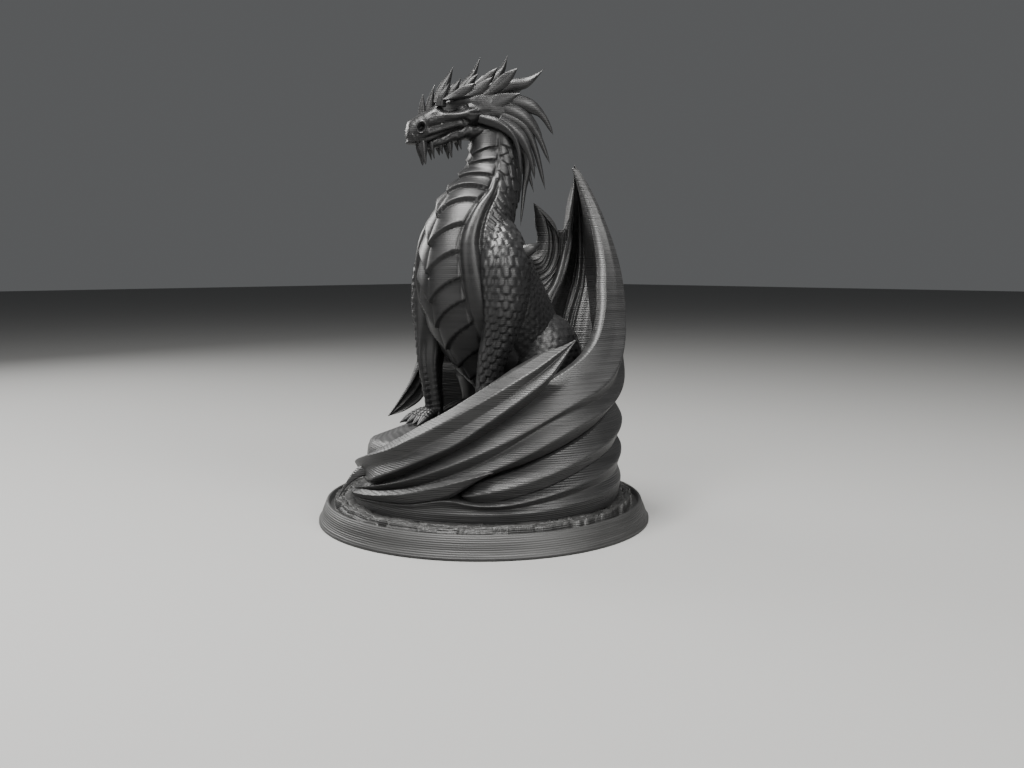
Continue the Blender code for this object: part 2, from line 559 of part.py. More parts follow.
def wing_bodies():
    out = []
    tip = (14.0, 28.8, 107.4)
    left_edge = [(9.5, 14.0, 50.0), (10.2, 19.0, 62.8), (8.9, 26.2, 70.0), (7.4, 31.5, 79.5),
                 (7.9, 33.2, 90.0), (10.8, 31.8, 101.0), tip]
    fold_one = [(8.0, 24.0, 46.0), (8.0, 30.0, 60.0), (6.4, 36.0, 70.0), (6.4, 38.5, 80.0),
                (8.2, 37.0, 91.0), (11.4, 33.0, 101.0), tip]
    bone = [(12.0, 26.0, 44.0), (11.4, 31.0, 58.0), (10.4, 36.6, 69.0), (9.4, 38.8, 79.5),
            (9.8, 37.6, 90.5), (12.0, 33.0, 101.0), tip]
    fold_two = [(22.0, 28.0, 38.0), (20.0, 33.5, 54.0), (17.0, 38.0, 67.0), (14.2, 39.8, 79.5),
                (12.8, 38.0, 90.5), (13.0, 33.4, 101.0), tip]
    bone_two = [(30.0, 22.0, 36.0), (27.5, 30.0, 52.0), (23.5, 34.5, 66.0), (19.0, 37.0, 79.0),
                (15.8, 36.0, 90.5), (14.2, 32.6, 101.0), tip]
    fold_three = [(37.0, 14.0, 36.0), (36.0, 24.0, 51.0), (31.0, 30.5, 65.0), (25.0, 34.0, 78.5),
                  (20.0, 34.4, 90.5), (16.4, 32.0, 101.0), tip]
    out.append(leaf([left_edge, fold_one, bone, fold_two, bone_two, fold_three],
                    2.8, (10.0, 14.0), 14))
    # First finger: the small hooked lobe beside the neck
    lobe_tip = (3.3, 20.3, 95.9)
    inner = [(1.5, 11.0, 78.0), (3.0, 16.4, 77.2), (4.2, 21.6, 78.4), (4.8, 23.6, 84.0),
             (4.2, 22.4, 91.0), lobe_tip]
    middle = [(2.6, 10.0, 74.0), (2.6, 18.0, 73.4), (2.8, 25.6, 75.0), (3.6, 27.6, 81.6),
              (3.6, 26.0, 89.6), lobe_tip]
    outer = [(3.6, 9.0, 70.0), (4.0, 18.0, 68.6), (4.8, 26.6, 71.6), (5.4, 30.8, 78.6),
             (5.6, 29.4, 87.0), lobe_tip]
    out.append(leaf([inner, middle, outer], 2.4, (0.0, 8.0), 12))
    # Web between the lobe and the main leaf
    out.append(leaf([[(4.8, 14.0, 66.0), (4.9, 26.9, 72.0), (5.1, 32.0, 80.0), (5.2, 30.9, 88.0)],
                     [(8.8, 17.0, 60.0), (6.9, 28.8, 71.0), (6.5, 33.4, 80.0), (6.8, 32.0, 87.0)],
                     [(12.6, 22.4, 58.0), (9.4, 29.6, 70.0), (8.7, 34.0, 80.0), (9.0, 34.4, 91.0)]],
                    2.2, (5.0, 12.0), 7, 0.12))
    # Right wing: arm from the shoulder blade, sheet falling to the swirl behind
    out.append(limb([(-8.0, 5.0, 80.0, 4.0, 4.0), (-17.0, 10.0, 84.0, 4.0, 4.2),
                     (-25.0, 15.0, 85.0, 3.0, 3.4), (-28.0, 16.5, 83.5, 1.8, 2.0)], 7, 8))
    wrist = (-27.5, 15.5, 85.5)
    front = [wrist, (-30.0, 10.0, 70.0), (-32.0, 4.0, 52.0), (-35.0, -0.5, 37.0),
             (-38.6, -4.5, 28.0), (-41.8, -8.0, 21.3)]
    second = [wrist, (-31.0, 13.0, 67.0), (-34.3, 8.9, 46.0), (-35.6, 4.4, 30.5),
              (-38.2, -1.8, 24.3), (-41.6, -7.4, 21.2)]
    out.append(leaf([front, [(x - 0.9, y + 1.4, z) for x, y, z in front], second],
                    2.0, (-8.0, 6.0), 12, 0.5))
    wrist = (-27.0, 16.6, 84.4)
    third = [wrist, (-32.0, 15.0, 70.0), (-37.0, 12.0, 52.0), (-40.0, 6.0, 31.0)]
    hollow = [wrist, (-31.0, 18.0, 70.0), (-35.6, 18.0, 53.0), (-37.6, 16.0, 33.0)]
    fourth = [wrist, (-29.5, 20.5, 70.0), (-34.0, 25.0, 54.0), (-34.0, 25.0, 34.0)]
    hollow_two = [wrist, (-27.0, 21.5, 70.0), (-28.0, 27.5, 54.0), (-26.0, 31.0, 35.0)]
    fifth = [wrist, (-24.0, 23.5, 70.0), (-22.0, 33.0, 55.0), (-17.0, 38.0, 36.0)]
    out.append(leaf([[wrist, (-30.6, 12.2, 69.0), (-33.4, 7.4, 50.0), (-37.6, 3.4, 31.0)], third, hollow, fourth, hollow_two, fifth],
                    2.4, (-8.0, 6.0), 9, 0.1))
    return out


def core_body():
    """Solid middle of the swirl; its top is the ledge the dragon sits on."""
    rings = []
    profile = [(1.0, -0.09), (1.0, 0.78), (0.985, 0.93), (0.94, 1.0), (0.6, 1.0), (0.25, 1.0)]
    count = 30
    rows = []
    for radial, high in profile:
        ring = []
        for k in range(count):
            b = 360.0 * k / count
            swing = 0.5 + 0.5 * math.cos(math.radians(b - 205.0))
            rim = 36.5 + 2.6 * swing ** 1.5
            top = 23.0 - 5.0 * swing ** 2 * min(1.0, max(0.0, (radial - 0.60) / 0.33))
            ring.append(polar(b, rim * radial, top * high))
        rows.append(ring)
    rings = rows
    return skin(rings)


def tail_bodies():
    out = []
    # Tail tip leaning out of the claw band down to the rocks
    out.append(spike([(-12.0, -35.0, 11.5), (-17.6, -38.6, 9.0), (-22.0, -40.6, 4.6),
                      (-25.6, -41.6, -0.6)], 1.7, 1.0, Vector((0.25, 0.97, 0)), 6))
    # Strands falling down the back of the neck from the mane
    for x, wide in ((0.0, 1.6), (3.4, 1.4), (-3.4, 1.4)):
        out.append(spike([(x, 12.0, 121.0), (x * 1.2, 16.2, 110.0), (x * 1.5, 13.6, 99.0),
                          (x * 1.8, 11.0, 88.0)], 2.0, wide, Vector((1, 0, 0)), 7))
    return out


def rounded(bm, name):
    mesh = bpy.data.meshes.new(name)
    bm.to_mesh(mesh)
    bm.free()
    obj = bpy.data.objects.new(name, mesh)
    bpy.context.scene.collection.objects.link(obj)
    return obj


def material(name, colour, roughness):
    mat = bpy.data.materials.new(name)
    mat.use_nodes = True
    shader = mat.node_tree.nodes["Principled BSDF"]
    shader.inputs["Base Color"].default_value = colour
    shader.inputs["Roughness"].default_value = roughness
    return mat


def below_seat():
    """Block under the seat that cuts the figure off level."""
    bm = bmesh.new()
    bmesh.ops.create_cube(bm, size=120.0)
    for v in bm.verts:
        v.co.z -= 60.0
    return bm


def unite(bodies, name):
    """One closed body out of overlapping closed bodies, cut level at the seat."""
    base = rounded(bodies[0], name)
    steps_left = [(bm, "UNION") for bm in bodies[1:]] + [(below_seat(), "DIFFERENCE")]
    for bm, operation in steps_left:
        tool = rounded(bm, "joined_body")
        mod = base.modifiers.new("join", "BOOLEAN")
        mod.operation = operation
        mod.solver = "MANIFOLD"
        mod.object = tool
        graph = bpy.context.evaluated_depsgraph_get()
        fresh = bpy.data.meshes.new_from_object(base.evaluated_get(graph))
        base.modifiers.clear()
        old = base.data
        base.data = fresh
        bpy.data.meshes.remove(old)
        shape = tool.data
        bpy.data.objects.remove(tool)
        bpy.data.meshes.remove(shape)
    return base


def keep_outer_skin(bm):
    """Drop the tiny sealed pockets left where three bodies meet."""
    left = set(bm.verts)
    groups = []
    while left:
        start = left.pop()
        group = [start]
        heap = [start]
        while heap:
            for edge in heap.pop().link_edges:
                for v in edge.verts:
                    if v in left:
                        left.remove(v)
                        group.append(v)
                        heap.append(v)
        groups.append(group)
    groups.sort(key=len)
    for group in groups[:-1]:
        bmesh.ops.delete(bm, geom=group, context="VERTS")


def make_dragon():
    bodies = [core_body()]
    bodies += swirl_bodies()
    bodies.append(skin(body_rings()))
    bodies += head_bodies()
    bodies += leg_bodies()
    bodies += wing_bodies()
    bodies += tail_bodies()
    dragon = unite(bodies, "dragon")
    bm = bmesh.new()
    bm.from_mesh(dragon.data)
    for v in bm.verts:
        v.co = Vector((v.co.x * SHARE, v.co.y * SHARE, v.co.z * SHARE + SEAT))
    keep_outer_skin(bm)
    bmesh.ops.triangulate(bm, faces=bm.faces)
    bm.to_mesh(dragon.data)
    bm.free()
    thin = dragon.modifiers.new("fewer_facets", "DECIMATE")
    thin.ratio = FACET_SHARE
    dragon.data.materials.clear()
    dragon.data.materials.append(material("dark_print_plastic", (0.035, 0.035, 0.036, 1), 0.5))
    for face in dragon.data.polygons:
        face.use_smooth = False
    return dragon


def ragged(slab):
    """A fixed uneven share from 0 to 1 for each rock slab."""
    return 0.5 + 0.5 * math.sin(slab * 2.399 + 1.7 * math.sin(slab * 5.1))


def make_plinth():
    count = SLAB_COUNT * 3
    floor = PLINTH_HEIGHT - GROOVE_DEPTH
    rings = []
    for k in range(count):
        b = 360.0 * k / count
        slab = k // 3
        crack = k % 3 == 0
        edge = SLAB_RADIUS - SLAB_RAGGED * ragged(slab + 40)
        top = SLAB_TOP - SLAB_STEP * (1.0 - ragged(slab))
        if crack:
            edge -= SLAB_RAGGED * 0.3
            top = SLAB_TOP - SLAB_CRACK
        profile = [(PLINTH_RADIUS, 0.0), (PLINTH_TOP_RADIUS, PLINTH_HEIGHT),
                   (PLINTH_TOP_RADIUS - RIM_WIDTH, PLINTH_HEIGHT),
                   (PLINTH_TOP_RADIUS - RIM_WIDTH - 0.0002, floor),
                   (edge + 0.0002, floor), (edge, top),
                   (FOOT_RADIUS - SEAT_MARGIN + 0.0004, top),
                   (FOOT_RADIUS - SEAT_MARGIN, SLAB_TOP)]
        rings.append([polar(b, r, z) for r, z in profile])
    bm = bmesh.new()
    rows = [[bm.verts.new(p) for p in ring] for ring in rings]
    low = bm.verts.new((0.0, 0.0, 0.0))
    high = bm.verts.new((0.0, 0.0, SLAB_TOP))
    for i in range(count):
        a = rows[i]
        b = rows[(i + 1) % count]
        for k in range(len(a) - 1):
            bm.faces.new((a[k], b[k], b[k + 1], a[k + 1]))
        bm.faces.new((b[0], a[0], low))
        bm.faces.new((a[-1], b[-1], high))
    bmesh.ops.triangulate(bm, faces=bm.faces)
    bmesh.ops.recalc_face_normals(bm, faces=bm.faces)
    plinth = rounded(bm, "plinth")
    plinth.data.materials.append(material("plinth_print_plastic", (0.045, 0.045, 0.046, 1), 0.55))
    return plinth


for old in list(bpy.data.objects):
    bpy.data.objects.remove(old)
make_plinth()
make_dragon()
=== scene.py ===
"""Seated dragon statue on a round plinth, printed in dark plastic: its looks."""
import bpy
import math
import numpy as np
from mathutils import Matrix, Vector


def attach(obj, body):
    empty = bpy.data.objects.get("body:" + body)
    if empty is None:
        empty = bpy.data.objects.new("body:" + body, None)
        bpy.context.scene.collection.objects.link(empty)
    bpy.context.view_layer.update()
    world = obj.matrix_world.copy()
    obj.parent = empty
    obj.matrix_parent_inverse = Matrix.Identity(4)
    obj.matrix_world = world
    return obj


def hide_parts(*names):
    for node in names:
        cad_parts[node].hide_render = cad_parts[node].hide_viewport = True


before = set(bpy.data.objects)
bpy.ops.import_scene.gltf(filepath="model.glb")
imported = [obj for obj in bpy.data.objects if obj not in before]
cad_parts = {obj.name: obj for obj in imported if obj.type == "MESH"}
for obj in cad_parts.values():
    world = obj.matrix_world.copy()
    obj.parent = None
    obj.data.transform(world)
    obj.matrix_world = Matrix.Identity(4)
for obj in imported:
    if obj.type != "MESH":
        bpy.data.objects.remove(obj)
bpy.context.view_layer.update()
scene = bpy.context.scene


# Camera, floor and light
# The picture was taken from the dragon's front left, a little above its chest, and the
# plinth's ellipses give the lens.  A pale table top carries the statue under soft lamps.
PICTURE_TURN = math.radians(45.0)
CAMERA_DROP = math.radians(6.879)
CAMERA_PLACE = (9.295, -330.7, 84.14)
LENS_LENGTH = 35.156
SENSOR_WIDTH = 36.0
TABLE_REACH = 3.0
TABLE_COLOUR = (0.20, 0.20, 0.197, 1)
TABLE_ROUGHNESS = 0.7
SKY_COLOUR = (0.86, 0.88, 0.90, 1)
SKY_STRENGTH = 0.12
LAMP_COLOUR = (1.0, 0.99, 0.97)
# Each lamp's place and aim in the picture's millimetres, its side in metres, and its power
LAMPS = (("top_lamp", (-30, -60, 560), (0, 0, 120), 0.24, 8.5),
         ("key_lamp", (360, -330, 460), (0, 0, 60), 0.22, 3.2),
         ("rim_lamp", (-420, 330, 330), (0, 0, 90), 0.30, 3.5),
         ("fill_lamp", (-420, -380, 240), (0, 0, 70), 0.50, 1.7),
         ("low_lamp", (300, -420, 150), (0, 0, 60), 0.40, 2.2),
         ("head_lamp", (-130, -190, 350), (-10, -10, 128), 0.12, 1.3))


def from_picture(across, away, up):
    """Millimetres across, away and up in the picture, turned 45 degrees into the part's metres."""
    c, s = math.cos(PICTURE_TURN), math.sin(PICTURE_TURN)
    return Vector((across * c - away * s, across * s + away * c, up)) * 0.001


lens = bpy.data.cameras.new("camera")
lens.sensor_width = SENSOR_WIDTH
lens.lens = LENS_LENGTH
lens.clip_start = 0.01
lens.clip_end = 20.0
camera = bpy.data.objects.new("camera", lens)
scene.collection.objects.link(camera)
ahead = from_picture(0, math.cos(CAMERA_DROP), -math.sin(CAMERA_DROP)).normalized()
right = from_picture(1, 0, 0).normalized()
stand = Matrix((right, right.cross(ahead), -ahead)).transposed().to_4x4()
stand.translation = from_picture(*CAMERA_PLACE)
camera.matrix_world = stand
scene.camera = camera

table = bpy.data.meshes.new("table_top")
table.from_pydata([(-TABLE_REACH, -TABLE_REACH, 0), (TABLE_REACH, -TABLE_REACH, 0),
                   (TABLE_REACH, TABLE_REACH, 0), (-TABLE_REACH, TABLE_REACH, 0)],
                  [], [(0, 1, 2, 3)])
table_top = bpy.data.objects.new("table_top", table)
scene.collection.objects.link(table_top)
pale = bpy.data.materials.new("pale_table")
pale.use_nodes = True
pale_shader = pale.node_tree.nodes["Principled BSDF"]
pale_shader.inputs["Base Color"].default_value = TABLE_COLOUR
pale_shader.inputs["Roughness"].default_value = TABLE_ROUGHNESS
table.materials.append(pale)

sky = bpy.data.worlds.new("soft_sky")
sky.use_nodes = True
sky.node_tree.nodes["Background"].inputs["Color"].default_value = SKY_COLOUR
sky.node_tree.nodes["Background"].inputs["Strength"].default_value = SKY_STRENGTH
scene.world = sky


def soft_lamp(name, place, aim, size, power):
    """Square area lamp at a picture place in millimetres, turned to its aim."""
    lamp = bpy.data.lights.new(name, "AREA")
    lamp.shape = "SQUARE"
    lamp.size = size
    lamp.energy = power
    lamp.color = LAMP_COLOUR
    holder = bpy.data.objects.new(name, lamp)
    scene.collection.objects.link(holder)
    holder.location = from_picture(*place)
    way = from_picture(*aim) - holder.location
    holder.rotation_euler = way.to_track_quat("-Z", "Y").to_euler()


for lamp_row in LAMPS:
    soft_lamp(*lamp_row)


# Plinth
# Round base printed with the figure: a plain sloping rim, a dark groove just inside it, and
# a ring of cracked, uneven rock slabs with a ragged edge round the foot of the swirl.
# Heights and radii in metres, from the plinth's middle outwards
PLINTH_HEIGHT = 0.0070
SLAB_TOP = 0.0082
SEAT = SLAB_TOP + 0.0003
COVERED_TOP = SLAB_TOP - 0.0004
CENTRE = 0.0005
COVERED_FROM = 0.0400
SLABS_FROM = 0.0460
SLABS_TO = 0.0510
ROW_SPLIT = 0.0468
SLAB_EDGE = 0.0496
RIM_INNER = 0.0515
RIM_TOP = 0.0524
RIM_FOOT = 0.0550
GROOVE_DEPTH = 0.0020
CRACK_DEPTH = 0.0011
SLAB_COUNT = 19
FRONT_COUNT = 24
STONE_GRAIN = 260
PLINTH_COLOUR = (0.015, 0.015, 0.0148)
PLINTH_ROUGHNESS = 0.52


def gridded(name, grid):
    """Mesh of a rows x columns grid of points: neighbours share a four-sided face, the last
    column meets the first, and each end row is closed by faces to its middle point."""
    rows, cols = grid.shape[:2]
    points = grid.reshape(-1, 3)
    here = np.arange(rows * cols).reshape(rows, cols)
    beside = np.roll(here, -1, axis=1)
    quads = np.stack([here[:-1], beside[:-1], beside[1:], here[1:]], axis=-1).reshape(-1, 4)
    low, high = len(points), len(points) + 1
    points = np.vstack([points, grid[0].mean(axis=0), grid[-1].mean(axis=0)])
    first = np.stack([beside[0], here[0], np.full(cols, low)], axis=-1)
    last = np.stack([here[-1], beside[-1], np.full(cols, high)], axis=-1)
    fans = np.vstack([first, last])
    middle = points.mean(axis=0)
    a, b, c = (points[quads[:, k]] - middle for k in (0, 1, 2))
    if (a * np.cross(b, c)).sum() < 0:
        quads, fans = quads[:, ::-1], fans[:, ::-1]
    mesh = bpy.data.meshes.new(name)
    mesh.from_pydata(points.tolist(), [], quads.tolist() + fans.tolist())
    mesh.polygons.foreach_set("use_smooth", np.ones(len(mesh.polygons), bool))
    mesh.update()
    piece = bpy.data.objects.new(name, mesh)
    scene.collection.objects.link(piece)
    return piece


def noise(x, y, seed, octaves=3):
    """Smooth value noise: a seeded lattice of random heights, blended with a cubic ease
    between its corners, each octave twice as fine and half as high."""
    cells = 64
    lattice = np.random.default_rng(seed).random((cells, cells))
    total, high, norm = 0.0, 1.0, 0.0
    for _ in range(octaves):
        i, j = np.floor(x).astype(int), np.floor(y).astype(int)
        f, g = x - i, y - j
        f, g = f * f * (3 - 2 * f), g * g * (3 - 2 * g)
        i, j = i % cells, j % cells
        k, m = (i + 1) % cells, (j + 1) % cells
        value = ((lattice[i, j] * (1 - f) + lattice[k, j] * f) * (1 - g)
                 + (lattice[i, m] * (1 - f) + lattice[k, m] * f) * g)
        total = total + high * (value - 0.5)
        norm += high * 0.5
        x, y, high = x * 2 + 17.3, y * 2 + 5.9, high * 0.5
    return total / norm


def ease(low, high, x):
    """Smooth step: 0 below low, 1 above high, a cubic between."""
    t = np.clip((x - low) / (high - low), 0, 1)
    return t * t * (3 - 2 * t)


# Layer spacing in metres, and how finely each pattern in the filament repeats
LAYER = 0.0006
LEVEL_STRETCH = (0.03, 0.03, 1.0)
BAND_SCALE = 1300.0
COARSE_SCALE = 260.0
MOTTLE_SCALE = 90.0
GRAIN_SCALE = 2600.0
DUST_SCALE = 170.0
DUST_SIZE = 0.045
DUST_THINNING = 330.0
DUST_COLOUR = (0.35, 0.35, 0.34, 1)


def print_plastic(name, colour, rough, line_depth=0.00011, shine=0.4):
    """Dark filament: level layer lines from a sine of height, uneven bands from noise that
    varies with height alone, grey mottling, and a few pale specks of dust."""
    mat = bpy.data.materials.new(name)
    mat.use_nodes = True
    nodes, links = mat.node_tree.nodes, mat.node_tree.links
    shader = nodes["Principled BSDF"]
    shader.inputs["Specular IOR Level"].default_value = shine

    def math_node(kind, one, two=None, three=None):
        """One sum on up to three numbers or sockets."""
        node = nodes.new("ShaderNodeMath")
        node.operation = kind
        for k, value in enumerate((one, two, three)):
            if isinstance(value, (int, float)):
                node.inputs[k].default_value = value
            elif value is not None:
                links.new(value, node.inputs[k])
        return node.outputs[0]

    def noise_node(vector, scale, detail):
        """Noise read at a vector."""
        node = nodes.new("ShaderNodeTexNoise")
        node.inputs["Scale"].default_value = scale
        node.inputs["Detail"].default_value = detail
        links.new(vector, node.inputs["Vector"])
        return node.outputs[0]

    place = nodes.new("ShaderNodeTexCoord").outputs["Object"]
    apart = nodes.new("ShaderNodeSeparateXYZ")
    links.new(place, apart.inputs[0])
    level = nodes.new("ShaderNodeMapping")
    level.inputs["Scale"].default_value = LEVEL_STRETCH
    links.new(place, level.inputs["Vector"])
    bands = noise_node(level.outputs[0], BAND_SCALE, 2.0)
    coarse = noise_node(level.outputs[0], COARSE_SCALE, 3.0)
    mottle = noise_node(place, MOTTLE_SCALE, 4.0)
    grain = noise_node(place, GRAIN_SCALE, 2.0)
    ridge = math_node("SINE", math_node("MULTIPLY", apart.outputs[2], 2 * math.pi / LAYER))
    lines = math_node("MULTIPLY_ADD", ridge, 0.30, math_node("MULTIPLY", bands, 1.9))
    height = math_node("MULTIPLY_ADD", grain, 0.12, lines)
    bump = nodes.new("ShaderNodeBump")
    bump.inputs["Strength"].default_value = 0.85
    bump.inputs["Distance"].default_value = line_depth
    links.new(height, bump.inputs["Height"])
    links.new(bump.outputs[0], shader.inputs["Normal"])
    shade = math_node("ADD", math_node("MULTIPLY", coarse, 0.35),
                      math_node("ADD", math_node("MULTIPLY", bands, 0.75),
                                math_node("MULTIPLY", mottle, 0.45)))
    ramp = nodes.new("ShaderNodeValToRGB")
    ramp.color_ramp.elements[0].position = 0.45
    ramp.color_ramp.elements[1].position = 0.95
    ramp.color_ramp.elements[0].color = tuple(c * 0.72 for c in colour) + (1,)
    ramp.color_ramp.elements[1].color = tuple(c * 1.35 for c in colour) + (1,)
    links.new(shade, ramp.inputs[0])
    dust = nodes.new("ShaderNodeTexVoronoi")
    dust.inputs["Scale"].default_value = DUST_SCALE
    links.new(place, dust.inputs["Vector"])
    speck = math_node("LESS_THAN", dust.outputs["Distance"], DUST_SIZE)
    thin = math_node("GREATER_THAN", noise_node(place, DUST_THINNING, 0.0), 0.60)
    mix = nodes.new("ShaderNodeMix")
    mix.data_type = "RGBA"
    links.new(math_node("MULTIPLY", math_node("MULTIPLY", speck, thin), 0.5), mix.inputs[0])
    links.new(ramp.outputs[0], mix.inputs[6])
    mix.inputs[7].default_value = DUST_COLOUR
    links.new(mix.outputs[2], shader.inputs["Base Color"])
    links.new(math_node("MULTIPLY_ADD", bands, 0.22,
                        math_node("MULTIPLY_ADD", mottle, 0.16, rough - 0.19)),
              shader.inputs["Roughness"])
    return mat


def dressed(piece, mat, node):
    """Gives a piece its finish, hangs it under the root body and hides the model's part that it
    stands for.
    """
    piece.data.materials.append(mat)
    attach(piece, "root")
    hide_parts(node)


def plinth_grid(turns=620):
    """Profile turned about the axis: the rim is a plain cone; inside the groove each slab has
    its own height and reach, split by cracks that wander, over a lower and wider shelf."""
    turn = np.linspace(0, 2 * np.pi, turns, endpoint=False)[:, None]
    r = np.concatenate([np.linspace(COVERED_FROM, SLABS_FROM, 14, endpoint=False),
                        np.linspace(SLABS_FROM, SLABS_TO, 44)])[None, :]
    across, along = STONE_GRAIN * r * np.cos(turn), STONE_GRAIN * r * np.sin(turn)
    wander = 0.16 * noise(across * 1.3 + 60, along * 1.3 + 60, 14, 2)
    cell = turn / (2 * np.pi) * SLAB_COUNT + 0.30 * np.sin(turn * 7) + 0.16 * np.sin(turn * 17 + 1)
    split = ROW_SPLIT + 0.0011 * noise(turn * 20, 0 * turn + 4.0, 6, 2)
    tier = np.where(r > split, 1, 0)
    cell = cell + wander + tier * 0.47
    number = np.floor(cell).astype(int) % SLAB_COUNT + tier * 37
    within = cell - np.floor(cell)
    rng = np.random.default_rng(11)
    lift, lean, reach, shelf = (rng.random(80) for _ in range(4))
    arc = np.minimum(within, 1 - within) * 2 * np.pi * r / SLAB_COUNT
    crack = 1 - ease(0.00004, 0.00028, np.minimum(arc, np.abs(r - split)))
    rough = noise(turn * 40, r * 1500, 3, 3)
    steps = np.floor(3.2 * noise(across + 40, along + 40, 5, 3)) / 3.2
    high = (SLAB_TOP - 0.0005 + 0.0006 * lift[number]
            + (lean[number] - 0.5) * (within - 0.5) * 0.0010)
    high = high + 0.00008 * rough + 0.0005 * steps - CRACK_DEPTH * crack
    piece = turn / (2 * np.pi) * FRONT_COUNT + 0.5 * np.sin(turn * 9) + 0.3 * np.sin(turn * 23 + 2)
    front = np.floor(piece).astype(int) % FRONT_COUNT
    jag = noise(turn * 14, 0 * turn + 2.0, 8, 4)
    edge = SLAB_EDGE + 0.0001 - 0.0010 * reach[front] + 0.0009 * jag
    high = high + 0.00030 * np.exp(-((edge - r) / 0.00034) ** 2)
    ledge_edge = edge + np.where(shelf[front] > 0.45, 0.0007, 0.0001)
    ledge_high = PLINTH_HEIGHT - 0.0009 + 0.0011 * lift[front] + 0.00010 * rough
    floor = PLINTH_HEIGHT - GROOVE_DEPTH + 0.0001 * rough
    top = high + (ledge_high - high) * ease(-0.00012, 0.00012, r - edge)
    top = top + (floor - top) * ease(-0.00012, 0.00012, r - ledge_edge)
    top = np.minimum(top, SEAT + 0.0004)
    under_foot = 1 - ease(0.0402, 0.0412, r)
    top = top * (1 - under_foot) + COVERED_TOP * under_foot
    wall = [(RIM_INNER - 0.0001, PLINTH_HEIGHT - 0.0016), (RIM_INNER, PLINTH_HEIGHT - 0.0002),
            (RIM_INNER + 0.0002, PLINTH_HEIGHT), (RIM_TOP - 0.0002, PLINTH_HEIGHT),
            (RIM_TOP, PLINTH_HEIGHT - 0.00015), (RIM_TOP + 0.0012, PLINTH_HEIGHT * 0.55),
            (RIM_FOOT - 0.0005, 0.0013), (RIM_FOOT, 0.0009), (RIM_FOOT, 0.0),
            (RIM_FOOT - 0.0004, 0.0), (0.03, 0.0), (CENTRE, 0.0)]
    wall_radius, wall_height = np.array(wall).T
    radius = np.hstack([np.full((turns, 1), CENTRE), r.repeat(turns, 0),
                        wall_radius[None, :].repeat(turns, 0)])
    height = np.hstack([np.full((turns, 1), COVERED_TOP), top,
                        wall_height[None, :].repeat(turns, 0)])
    grid = np.stack([radius * np.cos(turn), radius * np.sin(turn), height], axis=-1)
    return grid.transpose(1, 0, 2)


plinth_finish = print_plastic("plinth_print_plastic", PLINTH_COLOUR, PLINTH_ROUGHNESS)
plinth = gridded("rock_plinth", plinth_grid())
dressed(plinth, plinth_finish, "plinth")


# Swirl
# The two folded wings run down into broad fluted bands that wind round the figure's foot
# like a wrung cloth; each flute has a light upper facet, a crest and a dark lower facet.
SLOT = "dark_print_plastic"
SWIRL_COLOUR = (0.0145, 0.0145, 0.0147)
SWIRL_ROUGHNESS = 0.46
SHARE = 0.001
swirl_finish = print_plastic(SLOT, SWIRL_COLOUR, SWIRL_ROUGHNESS)


def placed(grid):
    """Figure shares to metres above the seat."""
    return grid * SHARE + np.array([0.0, 0.0, SEAT])


def eased_line(line, bearings, spread=5.0):
    """Measured heights joined by straight runs, then averaged with a bell of weights along
    the bearing so that they bend smoothly."""
    x, y = np.array(line, float).T
    step = np.arange(-3, 3.01, 0.5)
    weight = np.exp(-0.5 * step ** 2)
    total = sum(w * np.interp(bearings + s * spread, x, y) for w, s in zip(weight, step))
    return total / weight.sum()


def sunk(height):
    """Heights at the seat are carried a little below it, into the rocks."""
    depth, from_height = 1.4, 1.6
    return height - depth * np.maximum(0.0, 1.0 - height / from_height)


def across_lines(points, fine=11, soft=0.9):
    """Cross-section through the lines: straight facets cut fine, then rounded at each crest
    by averaging neighbours with a bell of weights."""
    count = points.shape[1]
    q = np.linspace(0, count - 1, (count - 1) * fine + 1)
    low = np.clip(q.astype(int), 0, count - 2)
    f = (q - low)[None, :, None]
    cut = points[:, low] * (1 - f) + points[:, low + 1] * f
    reach = int(soft * 3)
    weight = np.exp(-0.5 * (np.arange(-reach, reach + 1) / soft) ** 2)
    weight /= weight.sum()
    padded = np.concatenate([cut[:, :1]] * reach + [cut] + [cut[:, -1:]] * reach, axis=1)
    return sum(w * padded[:, k:k + cut.shape[1]] for k, w in enumerate(weight))


def polar(bearing, radius, height):
    """Bearing in degrees, radius and height as points."""
    a = np.radians(bearing)
    return np.stack([radius * np.cos(a), radius * np.sin(a), height], axis=-1)


def even(inset):
    """Inset line of one value all the way."""
    return [(0, inset)]


def flutes(lines, radius, first, last, rows, inner, spread=5.0, round_end=0.0):
    """Band wound round the axis: at each bearing its section joins the measured lines, each
    set in by its own line of insets, and closes through an inner wall.  Near a rounded end
    the section shrinks to its middle."""
    b = np.linspace(first, last, rows)
    outer = np.interp(b, *np.array(radius, float).T)
    heights = [sunk(eased_line(line, b, spread)) for line, inset in lines]
    insets = [np.interp(b, *np.array(inset, float).T) for line, inset in lines]
    tips = np.clip((last - b) / round_end, 0, 1) ** 0.8 if round_end else np.ones(rows)
    mid_inset = sum(insets) / len(insets)
    points = [polar(b, outer - (mid_inset + (inset - mid_inset) * tips), h)
              for h, inset in zip(heights, insets)]
    points = np.stack(points, axis=1)
    centre = points.mean(axis=1, keepdims=True)
    points = centre + (points - centre) * tips[:, None, None] ** 0.5
    face = across_lines(points)
    deep = np.interp(b, *np.array(inner, float).T)
    deep = outer - mid_inset - (outer - mid_inset - deep) * np.clip(tips, 0.05, 1)
    low, high = face[:, -1, 2], face[:, 0, 2]
    back = [polar(b, deep, low + (high - low) * t) for t in np.linspace(0.03, 0.97, 8)]
    return np.concatenate([face, np.stack(back, axis=1)], axis=1)


